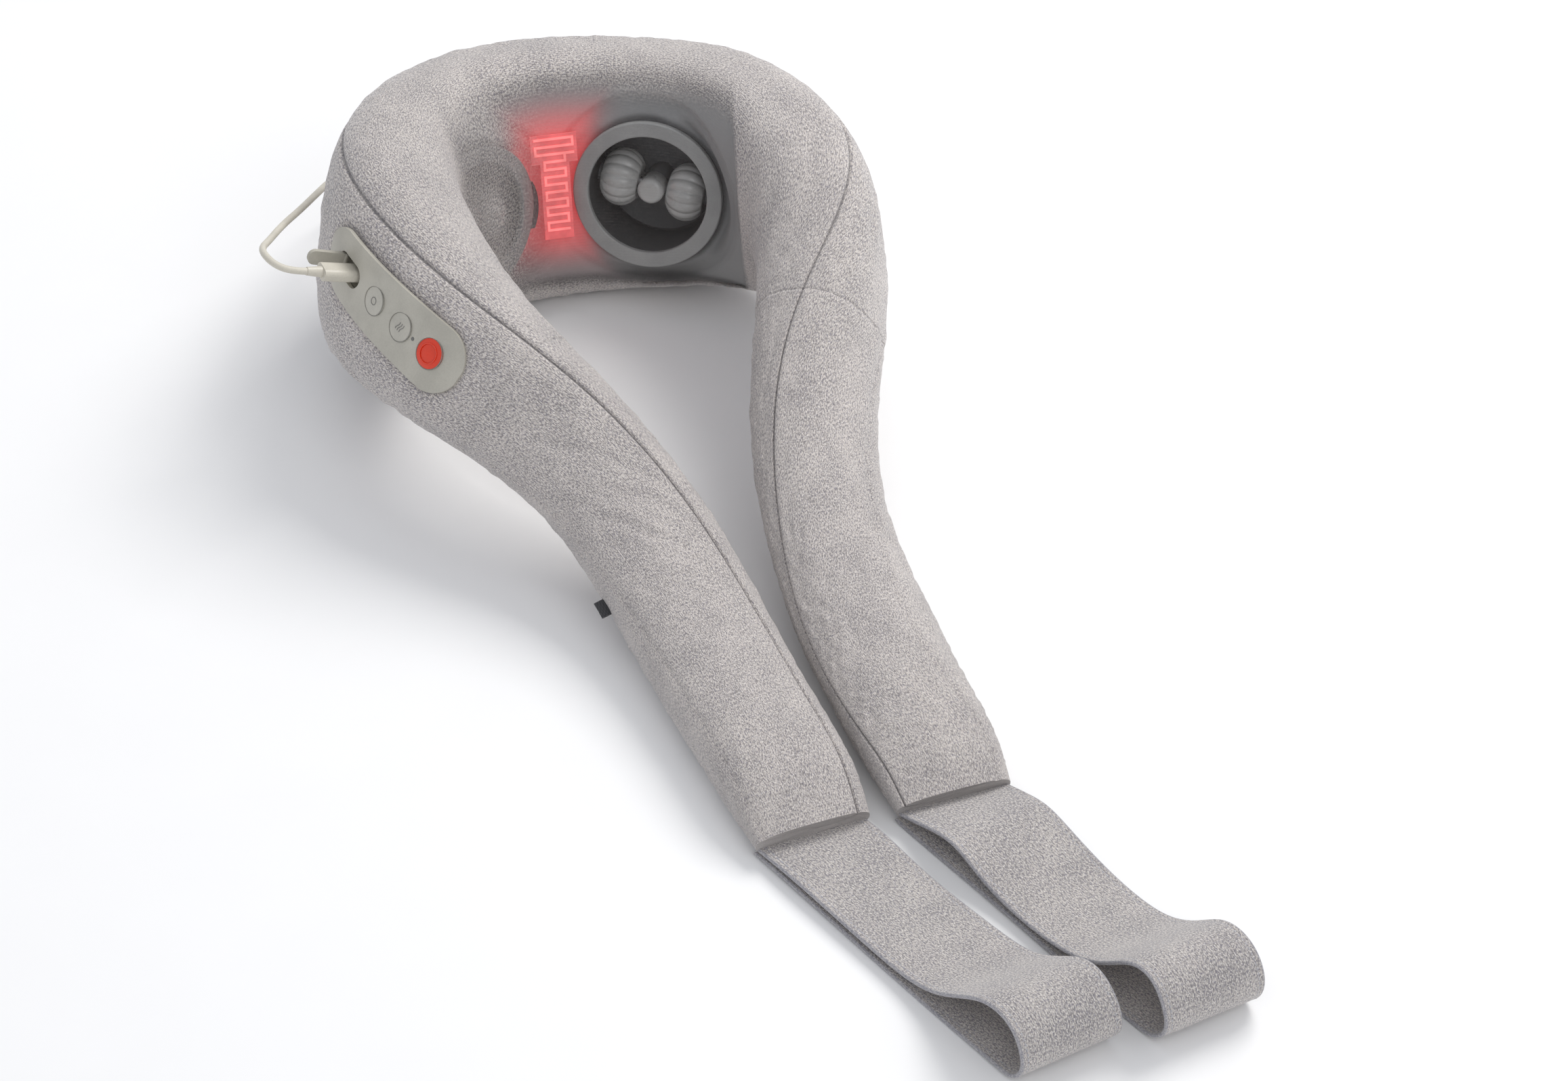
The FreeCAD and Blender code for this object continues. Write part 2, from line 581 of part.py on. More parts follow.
def button(r, dome):
    """Cap with a slightly domed top, a skirt that holds it behind the panel, and a stem."""
    radius = (r * r + dome * dome) / (2 * dome)
    cap = cylinder(r, BUTTON_SKIRT_TOP, dome).common(Part.makeSphere(radius, Vec(0, 0, dome - radius)))
    skirt = cylinder(r + BUTTON_SKIRT, BUTTON_SKIRT_TOP - BUTTON_SKIRT_T, BUTTON_SKIRT_TOP)
    return fused(cap, skirt, cylinder(STEM_R, STEM_END, BUTTON_SKIRT_TOP - BUTTON_SKIRT_T))


def port_well():
    """Oval cup behind the opening, with the socket's slot in its floor."""
    top, bottom = -PANEL_T - 1.7, -WELL_DEPTH
    outer = oval(PORT_LENGTH + 2 * WELL_WALL, PORT_WIDTH + 2 * WELL_WALL, bottom - WELL_WALL, top)
    body = outer.cut(oval(PORT_LENGTH, PORT_WIDTH, bottom, top))
    return body.cut(box(PLUG_X - 5, PLUG_X + 5, -2.2, 2.2, bottom - WELL_WALL, bottom))


def usb_socket():
    w, t, c = CONTACT_W / 2 + CONTACT_GAP, CONTACT_T / 2 + CONTACT_GAP, 0.35
    z0, z1 = -WELL_DEPTH - 6.4, -WELL_DEPTH
    return box(-w - c, w + c, -t - c, t + c, z0, z1).cut(box(-w, w, -t, t, z0 + 0.6, z1))


def control_board():
    return panel_bar(BOARD_FROM, BOARD_TO, 8, lambda u: BOARD_HALF_HEIGHT, BOARD_TOP - BOARD_T, BOARD_TOP)


def panel_box():
    """Housing behind the panel, open towards it."""
    bottom, inset = -PANEL_T - BOX_DEPTH, BOX_WALL / 85
    outer = panel_bar(BOX_FROM, BOX_TO, 10, lambda u: BOX_HALF_HEIGHT, bottom, -PANEL_T - 0.1)
    inner = panel_bar(BOX_FROM + inset, BOX_TO - inset, 10, lambda u: BOX_HALF_HEIGHT - BOX_WALL,
                      bottom + BOX_WALL, 1)
    return outer.cut(inner)


FLAP_HINGE = Vec(FLAP_X, 0, -FLAP_BARREL_R - 0.2)


def port_flap():
    """Rubber flap on a barrel at the rear end of the opening, standing open beside the plug."""
    barrel = Part.makeCylinder(FLAP_BARREL_R, FLAP_WIDTH, Vec(0, -FLAP_WIDTH / 2, 0), Vec(0, 1, 0))
    leaf = box(0, FLAP_LENGTH, -FLAP_WIDTH / 2, FLAP_WIDTH / 2, -FLAP_T / 2, FLAP_T / 2)
    leaf = leaf.makeFillet(4.0, [e for e in leaf.Edges if e.BoundBox.ZLength > 2 and e.BoundBox.XMin > 1])
    body = fused(barrel, leaf)
    body.rotate(Vec(0, 0, 0), Vec(0, 1, 0), -FLAP_OPEN)
    return body.translated(FLAP_HINGE)


# ---------------------------------------------------------------- charging lead
def lead_plug():
    """Moulded plug and its metal contact shell."""
    z0 = PLUG_OUT - PLUG_L
    body = box(-PLUG_W / 2, PLUG_W / 2, -PLUG_T / 2, PLUG_T / 2, z0, PLUG_OUT)
    body = body.makeFillet(3.2, [e for e in body.Edges if e.BoundBox.ZLength > 5])
    shell = box(-CONTACT_W / 2, CONTACT_W / 2, -CONTACT_T / 2, CONTACT_T / 2, z0 - CONTACT_L, z0)
    return fused(body, shell).translated(Vec(PLUG_X, 0, 0))


def relief():
    return Part.makeCone(RELIEF_R0, RELIEF_R1, RELIEF_L, Vec(PLUG_X, 0, PLUG_OUT))


def rounded_path(points):
    """Straight runs joined by tangent arcs, each as large as its two runs allow."""
    edges, radii, start = [], [], points[0]
    for a, b, c in zip(points, points[1:], points[2:]):
        into, out = (b - a).normalize(), (c - b).normalize()
        turn = into.getAngle(out)
        cut = 0.45 * min((b - a).Length, (c - b).Length)
        radii.append(cut / math.tan(turn / 2))
        first, last = b - into * cut, b + out * cut
        inward = (out - into).normalize()
        middle = b + inward * (radii[-1] * (1 / math.cos(turn / 2) - 1))
        edges += [Part.LineSegment(start, first).toShape(), Part.Arc(first, middle, last).toShape()]
        start = last
    edges.append(Part.LineSegment(start, points[-1]).toShape())
    return Part.Wire(edges), radii


def cord_tube(points):
    path, radii = rounded_path(points)
    first = (points[1] - points[0]).normalize()
    circle = Part.Wire(Part.makeCircle(LEAD_D / 2, points[0], first))
    body = path.makePipeShell([circle], True, False)
    expected = math.pi * (LEAD_D / 2) ** 2 * path.Length
    print("cord run: length %.1f mm, radii %s" % (path.Length, " ".join("%.1f" % r for r in radii)))
    print("cord run: volume %.1f, section x length %.1f" % (body.Volume, expected))
    return body


def coil_ring():
    r0, r1 = COIL_R - COIL_HALF_WIDTH, COIL_R + COIL_HALF_WIDTH
    body = tube(r0, r1, 0, COIL_HEIGHT)
    return body.makeFillet(2.0, body.Edges).translated(Vec(*COIL_CENTRE, 0))


def coil_tie():
    """Band round the coil's turns."""
    half = COIL_HALF_WIDTH + 0.8
    band = box(COIL_R - half - TIE_T, COIL_R + half + TIE_T, -TIE_W / 2, TIE_W / 2,
               0, COIL_HEIGHT + 2 * TIE_T)
    hole = box(COIL_R - half, COIL_R + half, -TIE_W / 2, TIE_W / 2, TIE_T, COIL_HEIGHT + TIE_T)
    band = band.cut(hole)
    band.rotate(Vec(0, 0, 0), UP, TIE_ANGLE)
    return band.translated(Vec(*COIL_CENTRE, 0))


def usb_plug(at, heading):
    """Flat rectangular plug at the lead's far end, lying on the floor; at is where the cord goes in."""
    boot = Part.makeCone(RELIEF_R1, RELIEF_R0 + 0.4, USB_BOOT_L, Vec(0, 0, 0), Vec(1, 0, 0))
    shell = box(USB_BOOT_L, USB_BOOT_L + USB_L, -USB_W / 2, USB_W / 2, -USB_T / 2, USB_T / 2)
    shell = shell.makeFillet(2.4, [e for e in shell.Edges if e.BoundBox.XLength > 5])
    x = USB_BOOT_L + USB_L
    tongue = box(x, x + USB_TONGUE_L, -USB_TONGUE_W / 2, USB_TONGUE_W / 2,
                 -USB_TONGUE_T / 2, USB_TONGUE_T / 2)
    hollow = box(x + 2, x + USB_TONGUE_L, -USB_TONGUE_W / 2 + 0.4, USB_TONGUE_W / 2 - 0.4,
                 -USB_TONGUE_T / 2 + 1.8, USB_TONGUE_T / 2 - 0.4)
    return placed(fused(boot, shell, tongue.cut(hollow)), frame_at(at, heading, UP))


# ---------------------------------------------------------------- battery
def battery_frame():
    s = Station(right(BATTERY_AT))
    return frame_at(s.middle, s.along, s.out)


def battery_block(grow):
    x, y, z = BATTERY_LENGTH / 2 + grow, BATTERY_HEIGHT / 2 + grow, BATTERY_DEPTH / 2 + grow
    return box(-x, x, -y, y, -z, z)


def battery_cells():
    return [Part.makeCylinder(CELL_R, CELL_L, Vec(-CELL_L / 2, y, 0), Vec(1, 0, 0))
            for y in (-CELL_R - 0.4, CELL_R + 0.4)]


# ---------------------------------------------------------------- writing the parts
for name, side in (("left", -1), ("right", 1)):
    at, hand = head_frame(side), -side
    turned = at.multiply(FreeCAD.Placement(Vec(0, 0, 0), FreeCAD.Rotation(UP, ROLLER_LINE)))
    save(f"{name}_ring", placed(ring(), at))
    save(f"{name}_ring_screws", *[placed(s, at) for s in ring_screws()])
    save(f"{name}_cup", placed(cup(), at))
    save(f"{name}_bush", placed(bush(), at))
    save(f"{name}_gearcase", placed(gearcase(hand), at))
    save(f"{name}_motor", placed(motor(hand), at))
    save(f"{name}_worm", placed(worm(hand), at))
    save(f"{name}_wheel", placed(worm_wheel(), turned))
    save(f"{name}_shaft", placed(shaft(), turned))
    save(f"{name}_carrier", placed(carrier(), turned))
    save(f"{name}_axle", placed(axle(), turned))
    save(f"{name}_roller_a", placed(roller(-ROLLER_AT), turned))
    save(f"{name}_roller_b", placed(roller(ROLLER_AT), turned))
    for label, point in (("head axis", Vec(0, 0, 0)), ("worm axis", Vec(hand * WORM_AT, 0, WHEEL_Z))):
        print(f"{name} {label} at {at.multVec(point)}")
    turn_x = turned.Rotation.multVec(Vec(1, 0, 0))
    print(f"{name} z {at.Rotation.multVec(UP)} y {at.Rotation.multVec(Vec(0, 1, 0))} axle {turn_x}")
    print(f"{name} axle at {turned.multVec(Vec(0, 0, ROLLER_Z))}")

save("bridge", bridge())
heater_at = heater_frame()
save("heater_pad", placed(t_plate(-HEATER_DEPTH, -HEATER_DEPTH + HEATER_T), heater_at))
save("heater_wire", placed(heater_trace(), heater_at))

port_at = face_frame(PORT_AT)
save("control_panel", control_panel())
save("panel_box", panel_box().cut(placed(oval(PORT_LENGTH + 3, PORT_WIDTH + 3, -9.6, 0), port_at)))
save("control_board", control_board())
for name, (at, r, dome) in BUTTONS.items():
    save(name, placed(button(r, dome), face_frame(at)))
    print(f"{name} at {face_frame(at).Base} out {face_frame(at).Rotation.multVec(UP)}")
switch_top = STEM_END - BUTTON_TRAVEL - SWITCH_GAP
switches = [placed(cylinder(3, BOARD_TOP + SWITCH_LIFT, switch_top), face_frame(at))
            for at, _, _ in BUTTONS.values()]
save("button_switches", *switches)
save("status_lens", placed(cylinder(LENS_R, -4.5, 0.1), face_frame(LENS_AT)))
save("port_well", placed(port_well(), port_at))
save("usb_socket", placed(usb_socket().translated(Vec(PLUG_X, 0, 0)), port_at))
save("port_cover", placed(port_flap(), port_at))
print(f"flap hinge at {port_at.multVec(FLAP_HINGE)} axis {port_at.Rotation.multVec(Vec(0, 1, 0))}")

battery_at = battery_frame()
save("battery_case", placed(battery_block(0).cut(battery_block(-BATTERY_WALL)), battery_at))
save("battery_cells", *[placed(cell, battery_at) for cell in battery_cells()])

left_pivot, right_pivot = left(ARM_PIVOT_STATION), right(ARM_PIVOT_STATION)
collar = above_floor(band_solid(left_pivot, right_pivot, 36))
for side in (-1, 1):
    collar = collar.cut(placed(head_pocket(-side), head_frame(side)))
collar = collar.cut(curved_bar(MIDDLE - 0.9, MIDDLE + 0.9, 6, lambda u: BRIDGE_HALF_HEIGHT + 0.4,
                               lambda s: -s.thick / 2 + BRIDGE_DEPTH - 0.4,
                               lambda s: -s.thick / 2 + BRIDGE_DEPTH + BRIDGE_T + 0.4))
collar = collar.cut(placed(t_plate(-HEATER_DEPTH - 0.3, 12, 0.3), heater_at))
collar = collar.cut(panel_bar(PANEL_FROM - 0.01, PANEL_TO + 0.01, 8, lambda u: PANEL_HALF_HEIGHT + 0.4,
                              -PANEL_T - 0.4, 12))
collar = collar.cut(panel_bar(BOX_FROM - 0.01, BOX_TO + 0.01, 8, lambda u: BOX_HALF_HEIGHT + 0.4,
                              -PANEL_T - BOX_DEPTH - 0.4, 0))
collar = collar.cut(placed(battery_block(0.4), battery_at))
save("collar_pad", collar)
save("inner_cover", inner_cover())

for name, u, tip_u, profile in (("left", left_pivot, 0, LOOP_PROFILE_LEFT),
                                ("right", right_pivot, 2 * MIDDLE, LOOP_PROFILE_RIGHT)):
    tip = Station(tip_u).middle
    save(f"{name}_arm_pad", arm_pad(u, tip_u))
    save(f"{name}_hand_loop", webbing_loop(tip, profile))

tag = Station(left(LABEL_AT))
tag_at = frame_at(tag.point(0, -tag.height / 2 - 0.2), tag.along, tag.out)
tab = box(-LABEL[0] / 2, LABEL[0] / 2, 0, LABEL[1], -LABEL[2] / 2, LABEL[2] / 2)
save("care_label", placed(tab, tag_at))

save("lead_plug", placed(lead_plug(), port_at))
save("lead_relief", placed(relief(), port_at))
exit_point = port_at.multVec(Vec(PLUG_X, 0, PLUG_OUT + RELIEF_L))
print(f"lead leaves the relief at {exit_point}")
tie = coil_tie()
save("lead_cord", cord_tube([exit_point] + [Vec(*p) for p in LEAD_ROUTE]),
     cord_tube([Vec(*p) for p in TAIL_ROUTE]))
save("lead_coil", coil_ring().cut(tie))
save("lead_tie", tie)
save("lead_usb_plug", usb_plug(Vec(*TAIL_ROUTE[-1]), Vec(*TAIL_ROUTE[-1]) - Vec(*TAIL_ROUTE[-2])))
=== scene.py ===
# %% [markdown]
# A neck massager: a padded U-shaped collar with kneading heads behind a sheer lining, two padded
# arms that end in hand loops, a control panel on one side, and a charging lead.
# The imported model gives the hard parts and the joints. This script keeps those parts where they
# are, gives them finishes, and replaces the plain soft solids by fabric.

# %% Load the frame
import json
import math

import bpy
import numpy as np
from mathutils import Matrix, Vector

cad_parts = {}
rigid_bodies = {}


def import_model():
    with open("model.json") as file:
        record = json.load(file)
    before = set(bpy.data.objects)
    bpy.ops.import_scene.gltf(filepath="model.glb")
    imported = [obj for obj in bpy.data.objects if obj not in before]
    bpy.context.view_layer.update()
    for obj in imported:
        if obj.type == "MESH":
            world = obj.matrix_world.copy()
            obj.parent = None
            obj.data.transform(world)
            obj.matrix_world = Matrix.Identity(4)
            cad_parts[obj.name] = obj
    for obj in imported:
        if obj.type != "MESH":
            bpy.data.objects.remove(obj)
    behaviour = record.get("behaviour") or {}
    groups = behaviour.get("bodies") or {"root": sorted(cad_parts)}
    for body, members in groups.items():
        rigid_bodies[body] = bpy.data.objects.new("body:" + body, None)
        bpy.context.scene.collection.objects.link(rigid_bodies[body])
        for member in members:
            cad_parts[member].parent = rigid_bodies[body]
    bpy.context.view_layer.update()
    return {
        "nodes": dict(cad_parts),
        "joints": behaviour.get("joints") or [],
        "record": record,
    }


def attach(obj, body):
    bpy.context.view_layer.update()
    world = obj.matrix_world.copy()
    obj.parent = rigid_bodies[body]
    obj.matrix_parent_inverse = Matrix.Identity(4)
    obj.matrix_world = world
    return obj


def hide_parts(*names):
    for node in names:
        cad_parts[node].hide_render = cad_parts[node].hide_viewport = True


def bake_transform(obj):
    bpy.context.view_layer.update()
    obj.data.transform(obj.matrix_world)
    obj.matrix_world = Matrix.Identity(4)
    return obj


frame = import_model()
joints = {j["name"]: j for j in frame["joints"]}


def shown(name, data):
    """A new object with this data, put into the scene."""
    made = bpy.data.objects.new(name, data)
    bpy.context.collection.objects.link(made)
    return made


# %% [markdown]
# The camera comes first, because it decides what the viewer sees of the lead. It stands in front,
# to the left and above, looks down at the middle of the massager, and has a long lens, which keeps
# the near hand loops from looking too large.

# %% Camera
AIM = Vector((0.036, -0.291, 0.03))
AZIMUTH, ELEVATION, DISTANCE = math.radians(-20), math.radians(42), 3.0
back = Vector((math.sin(AZIMUTH) * math.cos(ELEVATION),
               -math.cos(AZIMUTH) * math.cos(ELEVATION), math.sin(ELEVATION)))
camera = shown("camera", bpy.data.cameras.new("camera"))
camera.location = AIM + back * DISTANCE
camera.rotation_mode = "QUATERNION"
camera.rotation_quaternion = (-back).to_track_quat("-Z", "Y")
camera.data.lens, camera.data.sensor_width = 126, 36
camera.data.clip_start, camera.data.clip_end = 0.1, 30
bpy.context.scene.camera = camera
print("camera at", [round(v, 3) for v in camera.location])

# %% [markdown]
# A studio sweep: a pale floor, a bright even sky, a broad key light from the right and behind, and
# a weaker light from the front. Large lights give the soft edges of a product picture.

# %% Floor and light
def area_light(name, place, aim, size, watts, colour):
    """Square lamp at a place, turned towards a point."""
    lamp = bpy.data.lights.new(name, "AREA")
    lamp.size, lamp.energy, lamp.color = size, watts, colour
    holder = shown(name, lamp)
    holder.location = place
    holder.rotation_mode = "QUATERNION"
    holder.rotation_quaternion = (Vector(aim) - Vector(place)).to_track_quat("-Z", "Y")


world = bpy.data.worlds.new("studio")
world.use_nodes = True
world.node_tree.nodes["Background"].inputs["Color"].default_value = (0.93, 0.95, 1.0, 1)
world.node_tree.nodes["Background"].inputs["Strength"].default_value = 0.66
bpy.context.scene.world = world
bpy.context.scene.view_settings.view_transform = "Standard"
area_light("key", (1.5, 0.5, 2.1), (0.02, -0.25, 0.0), 1.3, 42, (1.0, 0.985, 0.96))
area_light("front", (0.3, -2.4, 1.9), (0.02, -0.25, 0.0), 1.6, 12, (1.0, 0.99, 0.97))
floor_mesh = bpy.data.meshes.new("floor")
floor_mesh.from_pydata([(-6, -6, 0), (6, -6, 0), (6, 6, 0), (-6, 6, 0)], [], [(0, 1, 2, 3)])
floor = shown("floor", floor_mesh)
print("floor and", len(bpy.data.lights), "lights")

# %% [markdown]
# The lead is a thin, limp charging cord. It leaves the plug's strain relief with one tight bend,
# runs back and down to the floor, and its spare length lies in a small coil behind the collar.
# A NURBS curve with a round bevel is right for a cord: a few control points give one smooth line.
# The coil's turns are more points of the same curve. They go inwards on the floor, then outwards
# again on top, so that no turn passes through another. The bevel has depth 1 and each point's radius
# is the lead's, because Blender widens a curve's box by its points' radius.

# %% Lead
LEAD_D = 0.004
RELIEF_END = (-0.17201, -0.09432, 0.12716)
LEAD_ROUTE = [
    (-0.1807, -0.0951, 0.1303), (-0.1892, -0.0916, 0.1345), (-0.1926, -0.0822, 0.136),
    (-0.1906, -0.0723, 0.1325), (-0.184, -0.059, 0.1245), (-0.169, -0.032, 0.1115),
    (-0.151, -0.005, 0.098), (-0.134, 0.027, 0.080), (-0.114, 0.063, 0.060),
    (-0.102, 0.083, 0.038), (-0.093, 0.099, 0.017), (-0.083, 0.1125, 0.005),
    (-0.071, 0.1205, 0.002),
]
TAIL_ROUTE = [(-0.046, 0.128, 0.006), (-0.0335, 0.129, 0.005), (-0.021, 0.127, 0.0038)]
COIL_CENTRE, COIL_START = (-0.0457, 0.100), math.radians(115)
TURN_SLOTS = [(0.0262, 0.002), (0.022, 0.002), (0.0178, 0.002),
              (0.0178, 0.0062), (0.022, 0.0062), (0.0262, 0.0062)]
POINTS_PER_TURN, SLIDE_FROM = 14, 0.66


def coil_points(slots):
    """Points clockwise round the coil's centre. Each turn keeps one radius and height for two
    thirds of the way, then slides over to the next turn's."""
    points = []
    for k in range(POINTS_PER_TURN * len(slots) + 1):
        turn, share = divmod(k / POINTS_PER_TURN, 1.0)
        here = slots[min(int(turn), len(slots) - 1)]
        after = slots[min(int(turn) + 1, len(slots) - 1)]
        slide = min(max((share - SLIDE_FROM) / (1 - SLIDE_FROM), 0.0), 1.0)
        r = here[0] + (after[0] - here[0]) * slide
        a = COIL_START - 2 * math.pi * k / POINTS_PER_TURN
        points.append((COIL_CENTRE[0] + r * math.cos(a), COIL_CENTRE[1] + r * math.sin(a),
                       here[1] + (after[1] - here[1]) * slide))
    return points


lead_line = [RELIEF_END] + LEAD_ROUTE + coil_points(TURN_SLOTS) + TAIL_ROUTE
lead_curve = bpy.data.curves.new("charging_lead", "CURVE")
lead_curve.dimensions = "3D"
lead_spline = lead_curve.splines.new("NURBS")
lead_spline.points.add(len(lead_line) - 1)
lead_spline.points.foreach_set("co", np.c_[lead_line, np.ones(len(lead_line))].ravel())
lead_spline.points.foreach_set("radius", np.full(len(lead_line), LEAD_D / 2))
lead_spline.order_u = 3
lead_spline.use_endpoint_u = True
lead_spline.resolution_u = 6
lead_curve.bevel_depth, lead_curve.bevel_resolution = 1.0, 5
lead_curve.use_fill_caps = True
lead = shown("charging_lead", lead_curve)
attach(lead, "collar")
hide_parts("lead_cord", "lead_coil")
print("lead:", len(lead_line), "control points")

# %% [markdown]
# Everything soft and most new pieces are grids: a function of two parameters gives every point at
# once with numpy, and one helper turns the array into a mesh. It closes the grid round its second
# parameter, closes each end with a fan, gives each corner its place in the cloth's own UV map, and
# turns the faces outwards by the sign of the volume that they enclose.

# %% Mesh helpers
def smooth(t):
    """3 t^2 - 2 t^3 between 0 and 1: an even slide from 0 to 1."""
    t = np.clip(t, 0.0, 1.0)
    return t * t * (3 - 2 * t)


def unit(v):
    """The same directions with length 1."""
    return v / np.maximum(np.linalg.norm(v, axis=-1, keepdims=True), 1e-12)


def closed_grid(name, points, uv=None, ends="fan", values=()):
    """Mesh of points[i, j], with row j = last joined to row j = 0. ends is "fan" for a tube with
    closed ends, and "ring" when the last ring i joins the first one. values are (name, array[i, j])
    pairs that the materials read."""
    n, m = points.shape[:2]
    i = np.arange(n if ends == "ring" else n - 1)[:, None]
    j = np.arange(m)[None, :]
    i1, j1 = (i + 1) % n, (j + 1) % m
    quads = np.stack([i * m + j, i * m + j1, i1 * m + j1, i1 * m + j], -1).reshape(-1, 4)
    verts = points.reshape(-1, 3)
    tris = np.zeros((0, 3), int)
    if ends == "fan":
        verts = np.vstack([verts, points[0].mean(0), points[-1].mean(0)])
        k = np.arange(m)
        first = np.stack([(k + 1) % m, k, np.full(m, n * m)], -1)
        last = np.stack([(n - 1) * m + k, (n - 1) * m + (k + 1) % m, np.full(m, n * m + 1)], -1)
        tris = np.vstack([first, last])
    halves = np.vstack([quads[:, [0, 1, 2]], quads[:, [0, 2, 3]], tris])
    a, b, c = (verts[halves[:, k]] for k in range(3))
    inside_out = np.einsum("ij,ij->i", a, np.cross(b, c)).sum() < 0
    if uv is None:
        rows, cols = np.meshgrid(np.arange(n + 1) / n, np.arange(m + 1) / m, indexing="ij")
        uv = np.stack([rows, cols], -1)[:n]
    grow = np.vstack([uv, uv[-1:] + (uv[-1:] - uv[-2:-1])]) if ends == "ring" else uv
    ii, jj = np.broadcast_arrays(i, j)
    corners = np.stack([grow[ii, jj], grow[ii, jj + 1], grow[ii + 1, jj + 1], grow[ii + 1, jj]], 2)
    corners = corners.reshape(-1, 4, 2)
    fans = np.zeros((0, 3, 2))
    if ends == "fan":
        k = np.arange(m)
        mid0 = np.broadcast_to(uv[0, :-1].mean(0), (m, 2))
        mid1 = np.broadcast_to(uv[-1, :-1].mean(0), (m, 2))
        fans = np.vstack([np.stack([uv[0, k + 1], uv[0, k], mid0], 1),
                          np.stack([uv[-1, k], uv[-1, k + 1], mid1], 1)])
    if inside_out:
        quads, tris = quads[:, ::-1], tris[:, ::-1]
        corners, fans = corners[:, ::-1], fans[:, ::-1]
    mesh = bpy.data.meshes.new(name)
    mesh.from_pydata(verts.tolist(), [], quads.tolist() + tris.tolist())
    layer = mesh.uv_layers.new(name="cloth")
    layer.data.foreach_set("uv", np.concatenate([corners.ravel(), fans.ravel()]))
    mesh.polygons.foreach_set("use_smooth", np.arange(len(mesh.polygons)) < len(quads))
    for label, grid in values:
        flat = np.asarray(grid, float).reshape(-1)
        if ends == "fan":
            flat = np.append(flat, [grid[0].mean(), grid[-1].mean()])
        mesh.attributes.new(label, "FLOAT", "POINT").data.foreach_set("value", flat)
    mesh.update()
    return shown(name, mesh)


# %% [markdown]
# The padded band is one long tube. At 21 stations from the left tip, round the back, to the right
# tip, a table gives its middle, its height, its thickness and how far it rolls. A natural cubic
# spline fills in between. The section is a squarish oval: |x|^p + |y|^p = 1 with p = 2.8.

# %% The band
BACK = (0, 19, 69, 152, 74, -22)
LEFT = [
    (-58, 13, 74, 152, 76, -16), (-103, -23, 85, 142, 78, 2), (-115, -87, 93, 120, 76, 20),
    (-97, -154, 88, 93, 64, 36), (-62.5, -218, 67, 77, 49, 54), (-39, -281, 41, 75, 44, 72),
    (-29.5, -351, 24, 74, 44, 86), (-25, -415, 20, 72, 41, 90), (-21.5, -457, 17, 71, 34, 90),
    (-20, -489, 10.5, 64, 16, 90),
]
RIGHT = [
    (54, 5, 69, 147, 76, -20), (97, -30, 79, 139, 77, -11), (119, -94, 92, 120, 75, 2),
    (109, -155, 84, 99, 66, 13), (81.5, -217, 62, 85, 50, 34), (63, -281, 39, 73, 46, 60),
    (57.5, -351, 24, 74, 44, 82), (56.5, -416, 20, 72, 41, 90), (57.5, -459, 17, 71, 34, 90),
    (58, -491, 10.5, 64, 16, 90),
]
ROWS = np.array(LEFT[::-1] + [BACK] + RIGHT, float)
MIDDLE, LAST = len(LEFT), len(ROWS) - 1
SQUARENESS = 2.8


def natural_spline(rows):
    """Cubic spline through rows at 0, 1, 2... with no curvature at its ends. The second
    derivatives m solve m[i-1] + 4 m[i] + m[i+1] = 6 (y[i+1] - 2 y[i] + y[i-1])."""
    n = len(rows)
    matrix = np.eye(n)
    right_side = np.zeros_like(rows)
    inner = np.arange(1, n - 1)
    matrix[inner, inner] = 4
    matrix[inner, inner - 1] = matrix[inner, inner + 1] = 1
    right_side[1:-1] = 6 * (rows[2:] - 2 * rows[1:-1] + rows[:-2])
    second = np.linalg.solve(matrix, right_side)

    def at(u, slope=False):
        i = np.clip(np.floor(u).astype(int), 0, n - 2)
        b = (u - i)[:, None]
        a = 1 - b
        p, q, m, s = rows[i], rows[i + 1], second[i], second[i + 1]
        if slope:
            return q - p + ((1 - 3 * a * a) * m + (3 * b * b - 1) * s) / 6
        return a * p + b * q + ((a ** 3 - a) * m + (b ** 3 - b) * s) / 6

    return at


band_at = natural_spline(ROWS)


def band_frames(u):
    """Middle, along, out, across, height and thickness at each u, in metres. Out is level and
    square to the band, then rolls about it."""
    row, along = band_at(u), unit(band_at(u, slope=True)[:, :3])
    flat_out = unit(np.cross([0, 0, 1], along))
    flat_up = np.cross(along, flat_out)
    c, s = np.cos(np.radians(row[:, 5:6])), np.sin(np.radians(row[:, 5:6]))
    return (row[:, :3] / 1000, along, flat_out * c + flat_up * s, flat_up * c - flat_out * s,
            row[:, 3] / 1000, row[:, 4] / 1000)


def section_xy(a, height, thick):
    """Out and across of the squarish oval at angle a: a radius (|cos a|^p + |sin a|^p)^(-1/p)."""
    c, s = np.cos(a), np.sin(a)
    r = (np.abs(c) ** SQUARENESS + np.abs(s) ** SQUARENESS) ** (-1 / SQUARENESS)
    return thick / 2 * r * c, height / 2 * r * s


fine = np.linspace(0, LAST, 2001)
reach_along = np.append(0, np.cumsum(np.linalg.norm(np.diff(band_frames(fine)[0], axis=0), axis=1)))
print("band length in mm:", round(reach_along[-1] * 1000))

# %% [markdown]
# The cover is knitted fabric over foam. Three things change it from the plain band: a sewn seam
# runs along its upper outer edge and another along its lower outer edge, the lining is lifted
# where it passes over the rings of the heads, and the knit tucks down under the control panel.
# All three are moves of the same grid, so the cloth stays one surface.

